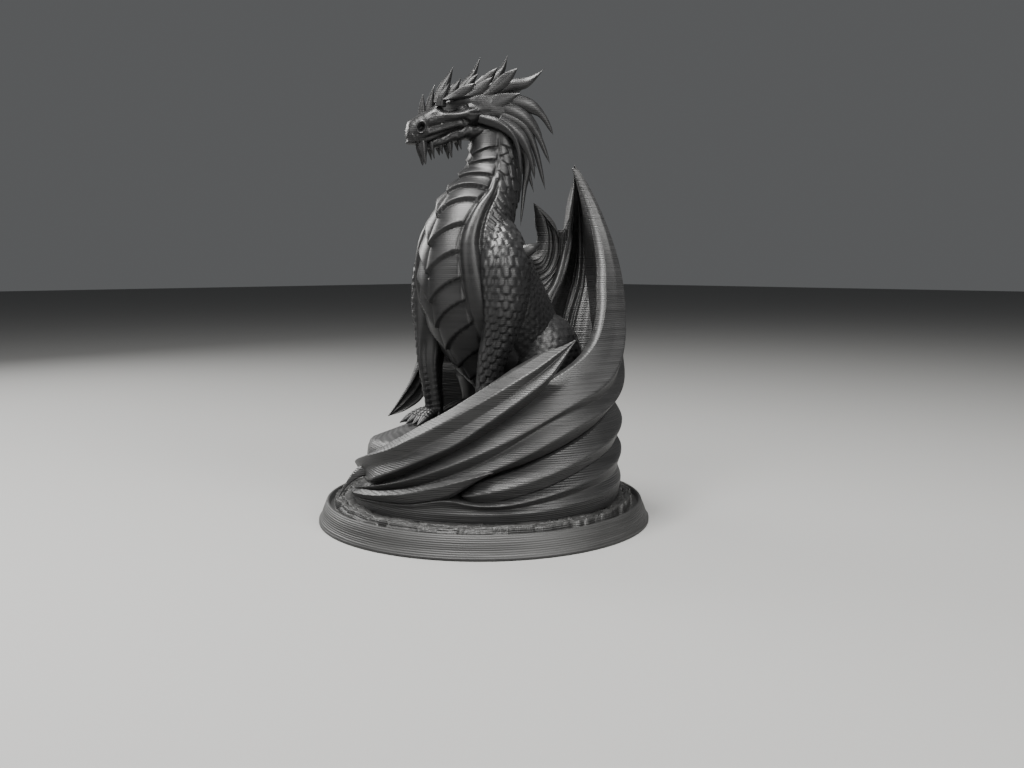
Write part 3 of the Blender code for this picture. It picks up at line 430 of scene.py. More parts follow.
# Each line of a band is a row of bearings in degrees and heights in shares.  Its insets, radius
# and inner wall are rows of bearings and shares in the same way.
UPPER_TOP = [(178, 1.0), (215, 8.5), (253, 16.6), (275, 23.2), (300, 32.2), (315, 38.6),
             (337, 47.2), (348, 51.2), (357, 53.9)]
UPPER_CREST = [(178, 0.6), (215, 7.0), (244, 13.2), (273, 19.3), (291, 25.4), (314, 34.8),
               (337, 45.0), (348, 50.4), (357, 53.8)]
UPPER_GROOVE = [(178, 0.4), (215, 4.0), (255, 11.5), (280, 17.4), (305, 26.6), (325, 36.0),
                (343, 45.6), (357, 53.6)]
UPPER_CREST_TWO = [(178, 0.2), (215, 2.5), (260, 8.3), (280, 13.9), (305, 22.6), (323, 32.1),
                   (340, 41.2), (350, 48.4), (357, 53.4)]
UPPER_FOOT = [(178, 0.0), (225, 1.0), (260, 5.6), (280, 10.8), (315, 22.6), (338, 33.6),
              (345, 38.6), (351, 44.2), (354.5, 49.0), (357, 53.2)]
OUTER_RADIUS = [(178, 41.0), (225, 43.2), (250, 43.3), (315, 43.6), (352, 45.4), (376, 46.4),
                (405, 46.6)]
UPPER_INNER = [(178, 34), (330, 34), (348, 39), (357, 41.5)]
claw_band = gridded("swirl_claw_band", placed(flutes(
    [(UPPER_TOP, even(5.2)), (UPPER_CREST, [(230, 0.0), (300, 0.7)]), (UPPER_GROOVE, even(1.9)),
     (UPPER_CREST_TWO, [(245, 3.2), (264, -0.3)]), (UPPER_FOOT, even(6.2))],
    OUTER_RADIUS, 179, 357.0, 340, UPPER_INNER, 2.5, round_end=14.0)))
dressed(claw_band, swirl_finish, "dragon")

LOWER_TOP = [(307, 8.2), (310, 9.6), (313, 11.2), (318, 12.4), (332, 15.3), (347, 19.5),
             (363, 22.9), (384, 28.4), (405, 32.0), (435, 37.0), (465, 42.0), (495, 46.0),
             (520, 47.0)]
LOWER_CREST = [(307, 7.6), (318, 9.0), (326, 10.2), (344, 14.1), (374, 20.4), (399, 24.4),
               (435, 31.0), (465, 36.5), (495, 41.0), (520, 43.0)]
LOWER_GROOVE = [(307, 7.0), (309, 6.0), (311, 5.5), (318, 5.4), (323, 6.0), (330, 7.1),
                (338, 8.5), (366, 14.5), (399, 19.2), (435, 26.0), (465, 31.5), (495, 36.0),
                (520, 38.5)]
FAR_RADIUS = [(405, 46.0), (450, 45.0), (495, 42.5), (520, 40.0)]
LOWER_RADIUS = [(307, 42.6), (308.5, 43.8), (312, 44.8), (345, 45.6)] + FAR_RADIUS
LOWER_INNER = [(307, 40), (313, 35.3), (320, 34), (520, 35)]
LOWER_START = 307.2
BANDS_END = 526
LOWER_ROWS = 360
lower_spread = 1.0 + 4.0 * ease(311, 330, np.linspace(LOWER_START, BANDS_END, LOWER_ROWS))
lower_band = gridded("swirl_lower_band", placed(flutes(
    [(LOWER_TOP, even(3.6)), (LOWER_CREST, even(-0.1)), (LOWER_GROOVE, even(2.2))],
    LOWER_RADIUS, LOWER_START, BANDS_END, LOWER_ROWS, LOWER_INNER, lower_spread)))
dressed(lower_band, swirl_finish, "dragon")

SKIRT_TOP = [(226, 0.3), (239, 1.0), (263, 3.2), (286, 5.0), (299, 7.3), (305, 7.8), (311, 7.2),
             (318, 7.4), (330, 9.2), (338, 10.6), (366, 16.6), (399, 21.2), (435, 28.0),
             (465, 33.5), (495, 38.0), (520, 40.5)]
SKIRT_CREST = [(226, 0.2), (239, 0.8), (263, 2.7), (286, 4.0), (299, 6.3), (305, 6.5), (310, 5.2),
               (318, 4.8), (326, 5.0), (359, 9.6), (382, 12.6), (399, 15.0), (435, 21.0),
               (465, 26.0), (495, 31.0), (520, 34.0)]
SKIRT_GROOVE = [(226, 0.1), (263, 1.8), (286, 2.8), (299, 4.2), (318, 3.4), (326, 3.4),
                (359, 6.6), (399, 9.4), (435, 14.0), (465, 19.0), (495, 24.0), (520, 28.0)]
SKIRT_CREST_TWO = [(226, 0.0), (263, 0.9), (296, 1.8), (335, 2.6), (374, 4.6), (399, 5.4),
                   (435, 9.0), (465, 14.0), (495, 19.0), (520, 23.0)]
SKIRT_FOOT = [(226, 0.0), (400, 0.0), (435, 3.0), (465, 7.0), (495, 11.0), (520, 15.0)]
SKIRT_RADIUS = [(226, 43.8), (263, 44.5), (288, 44.8), (300, 44.5), (320, 44.7),
                (345, 45.4)] + FAR_RADIUS
SKIRT_INNER = [(228, 31), (520, 32)]
skirt = gridded("swirl_skirt", placed(flutes(
    [(SKIRT_TOP, even(5.5)), (SKIRT_CREST, even(0.0)), (SKIRT_GROOVE, [(290, 0.5), (326, 1.7)]),
     (SKIRT_CREST_TWO, [(290, 0.5), (326, 0.2)]), (SKIRT_FOOT, [(290, 0.9), (326, 1.4)])],
    SKIRT_RADIUS, 228, BANDS_END, 400, SKIRT_INNER, 3.0)))
dressed(skirt, swirl_finish, "dragon")

CLAW_TOP = [(226, 0.8), (252, 4.7), (269, 6.4), (285, 8.8), (305, 13.1), (320, 15.6)]
CLAW_CREST = [(226, 0.5), (234, 1.6), (269, 5.2), (285, 7.4), (298, 10.4), (320, 15.4)]
CLAW_GROOVE = [(226, 0.2), (263, 3.0), (286, 4.5), (299, 7.0), (304, 8.4), (309, 10.6),
               (313, 12.4), (320, 15.2)]
CLAW_FOOT = [(226, 0.0), (265, 1.4), (285, 3.0), (299, 5.6), (304, 7.2), (309, 9.8),
             (313, 11.8), (320, 15.0)]
CLAW_RADIUS = [(226, 44.4), (240, 45.1), (285, 45.5), (300, 45.8), (320, 46.2)]
CLAW_INNER = [(226, 34), (285, 36), (300, 41), (310, 43.0), (320, 44.6)]
claw_blade = gridded("swirl_claw_blade", placed(flutes(
    [(CLAW_TOP, even(2.0)), (CLAW_CREST, even(0.0)), (CLAW_GROOVE, even(1.1)),
     (CLAW_FOOT, even(2.6))],
    CLAW_RADIUS, 227, 320, 220, CLAW_INNER, 2.0, round_end=5.0)))
dressed(claw_blade, swirl_finish, "dragon")


LEDGE_TOP = 23.0
LEDGE_DROP = 5.0
LEDGE_RIM = 36.5
LEDGE_REACH = 2.6
LEDGE_REACH_BEARING = 205.0
LEDGE_CORNERS = np.array([120, 160, 192, 222, 243, 262, 300])


def ledge_grid(turns=360):
    """Low drum inside the bands: its rim reaches out on the dragon's right, where its top
    slopes down; the rim is cut into flat facets with soft corners there, and shallow flutes
    run round it under the edge."""
    profile = [(1.0, -0.09), (1.0, 0.2), (0.985, 0.34), (1.0, 0.46), (0.985, 0.58), (1.0, 0.72),
               (0.992, 0.84), (0.975, 0.93), (0.95, 0.98), (0.93, 1.0)]
    profile += [(k, 1.0) for k in np.linspace(0.90, 0.55, 8)] + [(0.3, 1.0), (0.03, 1.0)]
    b = np.linspace(0, 360, turns, endpoint=False)
    swing = 0.5 + 0.5 * np.cos(np.radians(b - LEDGE_REACH_BEARING))
    rim = LEDGE_RIM + LEDGE_REACH * swing ** 1.5
    facet = np.clip(np.searchsorted(LEDGE_CORNERS, b) - 1, 0, len(LEDGE_CORNERS) - 2)
    start, end = LEDGE_CORNERS[facet], LEDGE_CORNERS[facet + 1]
    half = np.radians(end - start) * 0.5
    flat = np.cos(half) / np.cos(np.radians(b - 0.5 * (start + end)))
    inside = (b > LEDGE_CORNERS[0]) & (b < LEDGE_CORNERS[-1])
    rim = rim * np.where(inside, 0.35 + 0.65 * flat + 0.012, 1.0)
    rings = []
    for radial, high in profile:
        top = LEDGE_TOP - LEDGE_DROP * swing ** 2 * np.clip((radial - 0.60) / 0.33, 0, 1)
        rings.append(polar(b, rim * radial, top * high))
    return np.stack(rings)


ledge = gridded("swirl_ledge", placed(ledge_grid()))
dressed(ledge, swirl_finish, "dragon")


# Spar and left wing
# The upper band turns up into the wing's spar; between it and the body hangs a hollow sheet
# with paired finger bones that meet at the tip, and a small hooked finger beside the neck.
SPAR_EDGE = [(178, 0.4), (225, 4.0), (280, 14.0), (315, 27.0), (338, 37.4), (351, 42.4),
             (361, 44.6), (380, 51.2), (394, 63.9), (405, 76.7), (414, 90.0), (420, 101.6),
             (423, 108.9)]
SPAR_GROOVE = [(178, 0.0), (225, 1.5), (260, 6.0), (280, 11.4), (315, 23.3), (338, 34.6),
               (351, 39.5), (363, 41.4), (376, 43.6), (390, 50.0), (400, 62.0), (407, 76.0),
               (414, 90.0), (420, 101.0), (423, 108.6)]
SPAR_CREST = [(178, 0.0), (225, 1.0), (280, 10.0), (305, 17.0), (326, 24.0), (351, 33.9),
              (368, 37.4), (381, 41.7), (399, 52.4), (407, 63.6), (411, 75.1), (416, 87.4),
              (420, 99.1), (423, 108.4)]
SPAR_GROOVE_TWO = [(178, 0.0), (240, 1.0), (290, 9.5), (318, 17.8), (344, 29.8), (358, 32.5),
                   (375, 34.0), (396, 41.0), (410, 52.0), (418, 64.0), (423, 76.0), (426, 88.0),
                   (426, 99.0), (423.5, 108.2)]
SPAR_CREST_TWO = [(178, 0.0), (240, 0.6), (290, 7.4), (319, 14.8), (354, 27.2), (368, 30.0),
                  (390, 34.5), (410, 44.0), (422, 57.0), (428, 71.0), (429, 84.0), (427, 96.0),
                  (423.5, 108.0)]
SPAR_FOOT = [(178, 0.0), (240, 0.4), (269, 5.6), (300, 9.8), (332, 16.0), (351, 20.9),
             (376, 28.0), (395, 31.0), (420, 41.0), (433, 54.0), (437, 68.0), (434, 82.0),
             (429, 95.0), (423.5, 107.8)]
RISING_RADIUS = [(28, 46.2), (52, 46.5), (63, 46.9), (75, 45.7), (87, 42.5), (99, 38.0),
                 (109, 31.8)]
SPAR_START = 178
SPAR_RISE = 372
ROUND_SHARE = 0.62


def smoothed(values, soft):
    """Averages each value with its neighbours along the first way, by a bell of weights."""
    reach = int(soft * 3)
    weight = np.exp(-0.5 * (np.arange(-reach, reach + 1) / soft) ** 2)
    weight /= weight.sum()
    padded = np.concatenate([values[:1]] * reach + [values] + [values[-1:]] * reach)
    return sum(w * padded[k:k + len(values)] for k, w in enumerate(weight))


def spar_line(line, share, inset):
    """Point along a spar line: round the swirl the share counts bearing, and from there to
    the wing's tip it counts height, where the radius draws in with height."""
    b_low = SPAR_START + (SPAR_RISE - SPAR_START) * np.minimum(share, ROUND_SHARE) / ROUND_SHARE
    x, y = np.array(line, float).T
    z_low = np.interp(b_low, x, y)
    start = np.interp(SPAR_RISE, x, y)
    risen = np.clip((share - ROUND_SHARE) / (1 - ROUND_SHARE), 0, 1)
    z_high = start + (line[-1][1] - start) * risen
    late = [(h, a) for a, h in line if a >= 340]
    b_high = np.interp(z_high, *np.array(late, float).T)
    low = share <= ROUND_SHARE
    z = np.where(low, z_low, z_high)
    b = np.where(low, b_low, b_high)
    r = np.where(low, np.interp(b_low, *np.array(OUTER_RADIUS, float).T),
                 np.interp(z_high, *np.array(RISING_RADIUS, float).T))
    spread = smoothed(np.stack([b, r, z], axis=-1), 9.0)
    return polar(spread[:, 0], spread[:, 1] - inset, sunk(spread[:, 2]))


SPAR_FACE = ((SPAR_EDGE, 6.4), (SPAR_GROOVE, 2.9), (SPAR_CREST, -0.3), (SPAR_GROOVE_TWO, 2.0),
             (SPAR_CREST_TWO, -0.4), (SPAR_FOOT, 3.4))
SPAR_BACK = ((SPAR_FOOT, 8.0), (SPAR_GROOVE_TWO, 8.4), (SPAR_EDGE, 9.4))


def spar_grid(rows=360):
    """Section through the six spar lines, insets fading toward the tip, closed inside."""
    s = np.linspace(0, 1, rows)
    fade = 0.25 + 0.75 * np.clip((1 - s) / 0.25, 0, 1)
    face, back = (np.stack([spar_line(line, s, inset * fade) for line, inset in side], axis=1)
                  for side in (SPAR_FACE, SPAR_BACK))
    return np.concatenate([across_lines(face), across_lines(back, 4, 0.7)], axis=1)


spar = gridded("wing_spar", placed(spar_grid()))
dressed(spar, swirl_finish, "dragon")


def curve(points, share):
    """Catmull-Rom curve: a cubic through the points whose slope at each is half the chord
    between its neighbours; share runs from 0 to 1."""
    p = np.asarray(points, float)
    t = np.asarray(share, float) * (len(p) - 1)
    i = np.clip(t.astype(int), 0, len(p) - 2)
    f = (t - i).reshape((-1,) + (1,) * (p.ndim - 1))
    a, b = p[np.clip(i - 1, 0, None)], p[i]
    c, d = p[i + 1], p[np.clip(i + 2, None, len(p) - 1)]
    return 0.5 * (2 * b + (c - a) * f + (2 * a - 5 * b + 4 * c - d) * f ** 2
                  + (3 * b - a - 3 * c + d) * f ** 3)


def facing(grid, around=False):
    """Unit normals of a grid, from the cross product of its slopes both ways."""
    down = np.gradient(grid, axis=0)
    if around:
        side = (np.roll(grid, -1, axis=1) - np.roll(grid, 1, axis=1)) * 0.5
    else:
        side = np.gradient(grid, axis=1)
    n = np.cross(down, side)
    return n / np.maximum(np.linalg.norm(n, axis=-1, keepdims=True), 1e-9)


def sheet(curves, rows, cols, thick, toward, relief, fade=0.25):
    """Thin sheet through curves set side by side: Catmull-Rom along and across, raised by its
    relief on the side that faces the point `toward`, and thickened away from it."""
    s = np.linspace(0, 1, rows)
    q = np.linspace(0, 1, cols)
    lines = np.stack([curve(c, s) for c in curves], axis=0)
    front = curve(lines, q).transpose(1, 0, 2)
    n = facing(front)
    look = np.array(toward, float) - front.mean(axis=(0, 1))
    if (n.mean(axis=(0, 1)) * look).sum() < 0:
        n = -n
    n = smoothed(n, 3.0)
    n /= np.maximum(np.linalg.norm(n, axis=-1, keepdims=True), 1e-9)
    body = thick * np.clip((1 - s) / fade, 0.08, 1)[:, None, None]
    back = front - n * body
    edge = np.minimum(ease(0, 0.05, q), ease(0, 0.05, 1 - q))[None, :, None]
    back = back + n * body * 0.45 * (1 - edge)
    lift = relief(s[:, None], q[None, :])[..., None]
    front = front + n * lift
    back = back - n * lift * 0.5
    kept = np.linspace(cols - 1, 0, cols // 3).astype(int)
    return np.concatenate([front, back[:, kept]], axis=1)


def ridges(q, places, wide, high):
    """Sum of rounded ridges, each a bell across the sheet."""
    return sum(high * np.exp(-((q - at) / wide) ** 2) for at in places)


def main_relief(s, q):
    """Paired finger bones in four places, each with a groove between its two ridges, and
    shallow pleats of the skin between them that gather toward the tip."""
    bones, apart, pleats, lift = (0.03, 0.40, 0.62, 0.80), 0.030, 11, 0.0
    for place in bones:
        lift = lift + ridges(q, (place - apart, place + apart), 0.013, 0.95)
        lift = lift - 0.5 * np.exp(-((q - place) / 0.014) ** 2)
    pleat = 0.20 * np.sin(q * 2 * np.pi * pleats + 3.0 * s) * (0.3 + 0.7 * (1 - s))
    return (lift + pleat) * np.clip((1 - s) * 7, 0.05, 1)


WING_TIP = (14.0, 28.6, 108.2)
# A point to the left and in front of the figure, which the outer sides of the sheets face
IN_FRONT = (60.0, -60.0, 75.0)
left_sheet = gridded("left_wing_sheet", placed(sheet([
    [(9.5, 14.0, 50.0), (10.2, 19.0, 62.8), (8.9, 26.2, 70.0), (7.4, 31.5, 79.5),
     (7.9, 33.2, 90.0), (10.8, 31.8, 101.0), WING_TIP],
    [(8.0, 24.0, 46.0), (8.0, 30.0, 60.0), (6.4, 36.0, 70.0), (6.4, 38.5, 80.0),
     (8.2, 37.0, 91.0), (11.4, 33.0, 101.0), WING_TIP],
    [(12.0, 26.0, 44.0), (11.4, 31.0, 58.0), (10.4, 36.6, 69.0), (9.4, 38.8, 79.5),
     (9.8, 37.6, 90.5), (12.0, 33.0, 101.0), WING_TIP],
    [(22.0, 28.0, 38.0), (20.0, 33.5, 54.0), (17.0, 38.0, 67.0), (14.2, 39.8, 79.5),
     (12.8, 38.0, 90.5), (13.0, 33.4, 101.0), WING_TIP],
    [(30.0, 22.0, 36.0), (27.5, 30.0, 52.0), (23.5, 34.5, 66.0), (19.0, 37.0, 79.0),
     (15.8, 36.0, 90.5), (14.2, 32.6, 101.0), WING_TIP],
    [(36.0, 12.5, 36.0), (35.4, 18.6, 51.0), (30.2, 26.0, 65.0), (24.6, 30.2, 78.5),
     (19.8, 31.4, 90.5), (16.4, 30.4, 101.0), WING_TIP]],
    220, 165, 2.6, IN_FRONT, main_relief)))
dressed(left_sheet, swirl_finish, "dragon")


def lobe_relief(s, q):
    """Five narrow folds along the hooked finger."""
    folds = ridges(q, (0.05, 0.25, 0.47, 0.70, 0.94), 0.038, 0.95)
    return folds * np.clip((1 - s) * 5, 0.1, 1) * ease(0.0, 0.1, s)


FINGER_TIP = (3.3, 20.3, 95.9)
lobe = gridded("left_wing_finger", placed(sheet([
    [(1.5, 9.0, 78.6), (3.0, 16.4, 77.2), (4.2, 21.6, 78.4), (4.8, 23.6, 84.0),
     (4.2, 22.4, 91.0), FINGER_TIP],
    [(2.6, 8.0, 74.0), (2.6, 18.0, 73.4), (2.8, 25.6, 75.0), (3.6, 27.6, 81.6),
     (3.6, 26.0, 89.6), FINGER_TIP],
    [(3.6, 7.0, 70.0), (4.0, 18.0, 68.6), (4.8, 26.6, 71.6), (5.4, 30.8, 78.6),
     (5.6, 29.4, 87.0), FINGER_TIP]],
    120, 90, 2.2, IN_FRONT, lobe_relief)))
dressed(lobe, swirl_finish, "dragon")


def web_relief(s, q):
    """Three low folds along the web, the same from its foot to its tip."""
    return ridges(q, (0.15, 0.40, 0.65), 0.06, 0.45) + 0.0 * s


web = gridded("left_wing_web", placed(sheet([
    [(4.2, 18.0, 66.0), (4.9, 26.6, 71.6), (5.4, 30.8, 79.0), (5.7, 29.8, 87.2)],
    [(5.6, 20.0, 64.0), (6.0, 28.2, 71.2), (6.3, 32.0, 79.4), (6.4, 31.4, 85.2)],
    [(7.4, 20.0, 61.0), (7.6, 27.8, 70.6), (7.1, 32.2, 79.8), (7.2, 32.6, 87.6)],
    [(10.2, 19.0, 60.0), (9.0, 26.2, 70.0), (7.6, 31.6, 79.8), (8.1, 33.2, 92.0)]],
    70, 54, 1.8, IN_FRONT, web_relief, 0.1)))
dressed(web, swirl_finish, "dragon")


# Right wing
# Lowered on the side that the picture does not show: an arm from the shoulder blade to a
# wrist, and a folded sheet that drops from it into the swirl, one finger ending in a spike.
THINNEST = 0.05


def tube(stations, rows, cols, side, relief=None, power=1.0):
    """Round body along a curve: stations give centre, half width and half depth; the
    section is an ellipse whose sines are raised to a power, and relief lifts it outward."""
    s = np.linspace(0, 1, rows)
    line = curve(stations, s)
    path, wide, deep = line[:, :3], line[:, 3], line[:, 4]
    along = np.gradient(path, axis=0)
    along /= np.linalg.norm(along, axis=1, keepdims=True)
    side = np.asarray(side, float)
    out = side - along * (along @ side)[:, None]
    out /= np.linalg.norm(out, axis=1, keepdims=True)
    other = np.cross(along, out)
    a = np.linspace(0, 2 * np.pi, cols, endpoint=False)
    c = np.sign(np.cos(a)) * np.abs(np.cos(a)) ** power
    d = np.sign(np.sin(a)) * np.abs(np.sin(a)) ** power
    wide, deep = np.maximum(wide, THINNEST), np.maximum(deep, THINNEST)
    grid = (path[:, None] + out[:, None] * (c * wide[:, None])[..., None]
            + other[:, None] * (d * deep[:, None])[..., None])
    if relief is None:
        return grid
    length = np.concatenate([[0], np.cumsum(np.linalg.norm(np.diff(path, axis=0), axis=1))])
    n = facing(grid, True)
    if ((grid - path[:, None]) * n).sum() < 0:
        n = -n
    n = smoothed(n, 2.0)
    return grid + n * relief(s[:, None], a[None, :], length[:, None], wide[:, None])[..., None]


def arm_relief(s, a, run, wide):
    """Five low sinews along the arm and shallow wrinkles across it."""
    return 0.25 * np.cos(a * 5) + 0.2 * np.sin(run * 2.2)


right_arm = gridded("right_wing_arm", placed(tube([
    (-8.0, 5.0, 80.0, 4.0, 4.0), (-17.0, 10.0, 84.0, 4.0, 4.2),
    (-25.0, 15.0, 85.0, 3.0, 3.4), (-28.0, 16.5, 83.5, 1.8, 2.0)], 50, 30, (1, 0, 0),
    arm_relief)))
dressed(right_arm, swirl_finish, "dragon")

WRIST = (-27.0, 16.6, 84.4)
# A point to the right and behind, which the outer side of this sheet faces
BEHIND = (-80.0, 40.0, 60.0)


def right_relief(s, q):
    """Paired finger bones fanning from the wrist with pleats between them."""
    bones, apart, pleats = (0.03, 0.24, 0.62, 0.95), 0.02, 8
    lift = sum(ridges(q, (at - apart, at + apart), 0.015, 0.7) for at in bones)
    return (lift + 0.2 * np.sin(q * 2 * np.pi * pleats)) * np.clip(s * 6, 0.1, 1)


right_sheet = gridded("right_wing_sheet", placed(sheet([
    [WRIST, (-30.6, 12.2, 69.0), (-33.4, 7.4, 50.0), (-37.6, 3.4, 31.0)],
    [WRIST, (-32.0, 15.0, 70.0), (-37.0, 12.0, 52.0), (-40.0, 6.0, 31.0)],
    [WRIST, (-31.0, 18.0, 70.0), (-35.6, 18.0, 53.0), (-37.6, 16.0, 33.0)],
    [WRIST, (-29.5, 20.5, 70.0), (-34.0, 25.0, 54.0), (-34.0, 25.0, 34.0)],
    [WRIST, (-27.0, 21.5, 70.0), (-28.0, 27.5, 54.0), (-26.0, 31.0, 35.0)],
    [WRIST, (-24.0, 23.5, 70.0), (-22.0, 33.0, 55.0), (-17.0, 38.0, 36.0)]],
    110, 130, 2.2, BEHIND, right_relief, 0.02)))
dressed(right_sheet, swirl_finish, "dragon")

SPIKE_TIP = (-41.8, -8.0, 21.3)


def finger_relief(s, q):
    """Three low ridges along the finger."""
    return ridges(q, (0.1, 0.5, 0.9), 0.08, 0.35) + 0 * s


right_finger = gridded("right_wing_finger", placed(sheet([
    [(-27.5, 15.5, 85.5), (-30.0, 10.0, 70.0), (-32.0, 4.0, 52.0), (-35.0, -0.5, 37.0),
     (-38.6, -4.5, 28.0), SPIKE_TIP],
    [(-27.9, 16.3, 85.4), (-31.0, 11.4, 69.0), (-33.2, 6.2, 49.0), (-35.4, 1.9, 33.6),
     (-38.4, -3.2, 26.0), SPIKE_TIP],
    [(-27.5, 15.5, 85.0), (-31.0, 13.0, 67.0), (-34.3, 8.9, 46.0), (-35.4, 4.4, 29.5),
     (-38.0, -1.8, 23.6), SPIKE_TIP]],
    100, 44, 1.8, IN_FRONT, finger_relief, 0.4)))
dressed(right_finger, swirl_finish, "dragon")


# Trunk and neck
# Upright body with broad stepped plates down the chest, a smooth ridge on each side of
# them, and round scales that overlap downward over the neck, shoulders and flanks.
# The body is the same filament as the swirl. Its colour is painted about a third darker, as painted
# shade over the trunk, legs and head.
BODY_SHADED_COLOUR = (0.010, 0.010, 0.0103)
BODY_ROUGHNESS = 0.36
BODY_LINE_DEPTH = 0.00003
BODY_SHINE = 0.26
shaded_body_finish = print_plastic("shaded_print_plastic", BODY_SHADED_COLOUR, BODY_ROUGHNESS, BODY_LINE_DEPTH,
                            BODY_SHINE)
PLATE_EDGES = (41.0, 47.0, 53.0, 59.3, 65.4, 70.4, 75.1, 80.8, 86.3, 91.5, 95.6, 100.7, 107.4,
               112.2, 118.0)
PLATE_DROP = 4.2
# Each row gives the middle's place from front to back, its height, half the width, and the
# reach to the front and the back
TRUNK_STATIONS = np.array([
    (20.0, 20.0, 10.0, 9.0, 9.0), (21.0, 30.0, 15.5, 13.5, 13.0),
    (16.0, 42.0, 18.0, 17.5, 16.0), (8.5, 54.0, 18.5, 21.5, 18.0),
    (0.5, 65.0, 19.0, 22.5, 18.5), (-3.5, 74.5, 18.6, 20.8, 17.0),
    (-5.0, 83.0, 16.0, 17.6, 15.0), (-4.2, 90.0, 12.9, 13.8, 13.6),
    (-0.2, 97.0, 10.5, 11.2, 12.2), (3.2, 104.0, 9.1, 9.6, 11.2),
    (4.6, 111.0, 8.4, 8.7, 10.0), (4.8, 118.0, 8.0, 8.0, 9.0), (4.8, 122.0, 5.0, 5.0, 6.0)])


def scales(u, v):
    """Height from 0 to 1 of overlapping round scales: u counts scales across and v rows down.
    A scale rises toward its round free edge, falls off sharply there and hides the root of
    the next row, which is shifted by half a scale."""
    row = np.floor(v)

    def one(r):
        """Height and cover of the row numbered r."""
        shift = 0.5 * np.mod(r, 2)
        dx = u - shift - np.floor(u - shift) - 0.5
        dy = v - r
        reach = 1.42 * np.sqrt(np.clip(1 - (dx / 0.53) ** 2 * 0.75, 0, 1))
        rise = 0.34 + 0.50 * dy / 1.42 + 0.16 * (1 - (dx / 0.5) ** 2) - 0.34 * (dx / 0.5) ** 6
        return rise, ease(0.0, 0.10, reach - dy)

    upper, cover = one(row - 1)
    lower, _ = one(row)
    return upper * cover + lower * (1 - cover)


def trunk_grid(rows=292, cols=270):
    """Keeled section carried up a bent line; the chest is stepped by plates whose edges drop
    to the keel in an arc, flanked by smooth ridges; the rest has overlapping scales."""
    s = np.linspace(0, 1, rows) ** 0.86
    line = curve(TRUNK_STATIONS, s)
    y, z, wide, front, back = (line[:, k][:, None] for k in range(5))
    path = np.stack([line[:, 0], line[:, 1]], axis=-1)
    along = smoothed(np.gradient(path, axis=0), 8.0)
    along /= np.linalg.norm(along, axis=1, keepdims=True)
    ay, az = along[:, :1], along[:, 1:]
    a = np.linspace(0, 2 * np.pi, cols, endpoint=False)[None, :]
    across, deep = np.sin(a), np.cos(a)
    reach = np.where(deep > 0, front, back)
    keel = np.where(deep > 0, 1.25, 1.0)
    x = wide * np.sign(across) * np.abs(across) ** keel
    d = reach * np.sign(deep) * np.abs(deep) ** keel
    grid = np.stack([x, y - d * az, z + d * ay], axis=-1)
    n = facing(grid, True)
    if ((grid - np.stack([0 * y, y, z], axis=-1)) * n).sum() < 0:
        n = -n
    n = smoothed(n, 3.0)
    turned = np.degrees(np.minimum(a, 2 * np.pi - a))
    border = 38.0 + 18.0 * ease(82, 97, z)
    t = np.clip(turned / border, 0, 1)
    level = z + PLATE_DROP * (1 - t) ** 1.7
    edges = np.array(PLATE_EDGES)
    k = np.clip(np.searchsorted(edges, level) - 1, 0, len(edges) - 2)
    within = np.clip((level - edges[k]) / (edges[k + 1] - edges[k]), 0, 1)
    past_edge = ease(0.0, 0.07, within)
    plate = 1.45 * (1 - within) ** 1.3 * past_edge - 0.35 * (1 - past_edge)
    plate = plate * (1 - 0.35 * ease(96, 104, z))
    on_plates = 1 - ease(0.92, 1.0, turned / border)
    lift = plate * on_plates * ease(30, 36, z)
    spread = 8.0 - 3.6 * ease(84, 98, z)
    beside = (turned - border - spread) / spread
    strength = ease(44, 58, z) * (1 - 0.5 * ease(82, 92, z)) * (1 - ease(95, 103, z))
    ridge = np.clip(1 - np.abs(beside) ** 2.4, 0, 1) ** 0.6 * 2.1 * strength
    groove = np.exp(-((turned - border - 2 * spread - 2.0) / 2.2) ** 2)
    lift = lift + ridge - 0.9 * groove * ease(46, 60, z) * (1 - ease(95, 103, z))
    spacing = np.linalg.norm(np.roll(grid, -1, axis=1) - grid, axis=-1)
    arc = np.cumsum(spacing, axis=1)
    arc = np.abs(arc - arc[:, cols // 2][:, None])
    step = np.linalg.norm(np.diff(path, axis=0), axis=1)
    size = 2.6 + 2.2 * ease(84, 100, z)
    run = np.concatenate([[0], np.cumsum(step)])[:, None]
    row_share = 0.80 - 0.10 * ease(84, 100, z[1:, 0])
    count = np.concatenate([[0], np.cumsum(step / (size[1:, 0] * row_share))])[:, None]
    u = arc / size + 0.34 * noise(arc * 0.22, run * 0.22, 21, 2)
    v = -count + 0.40 * noise(arc * 0.2 + 9, run * 0.22, 22, 2)
    beyond = 2 * spread * (1 - ease(95, 103, z))
    cover = ease(beyond + 2.0, beyond + 5.0, turned - border)
    lift = lift + (0.85 + 0.35 * ease(84, 100, z)) * (scales(u, v) - 0.45) * cover
    return grid + n * lift[..., None]


trunk = gridded("trunk_and_neck", placed(trunk_grid()))
dressed(trunk, shaded_body_finish, "dragon")


# Haunches and hind feet
# The hind legs are folded under the body, mostly behind the bands: scaled thighs, and plain
# shins that end in long feet on the ledge.
def scaled(size, high, start=0.0, end=1.0, stretch=0.74, seed=31):
    """Relief of overlapping scales of a given width on a tube, between two shares of it."""
    def relief(s, a, run, wide):
        """Scales counted across by the arc from the outer side, and down by the run."""
        arc = np.abs(a - np.pi) * wide
        u = arc / size + 0.3 * noise(arc * 0.12, run * 0.12, seed, 1)
        v = run / (size * stretch) + 0.3 * noise(arc * 0.11 + 9, run * 0.13, seed + 1, 1)
        mask = ease(start, start + 0.05, s) * (1 - ease(end - 0.08, end, s))
        return high * (scales(u, v) - 0.3) * mask
    return relief


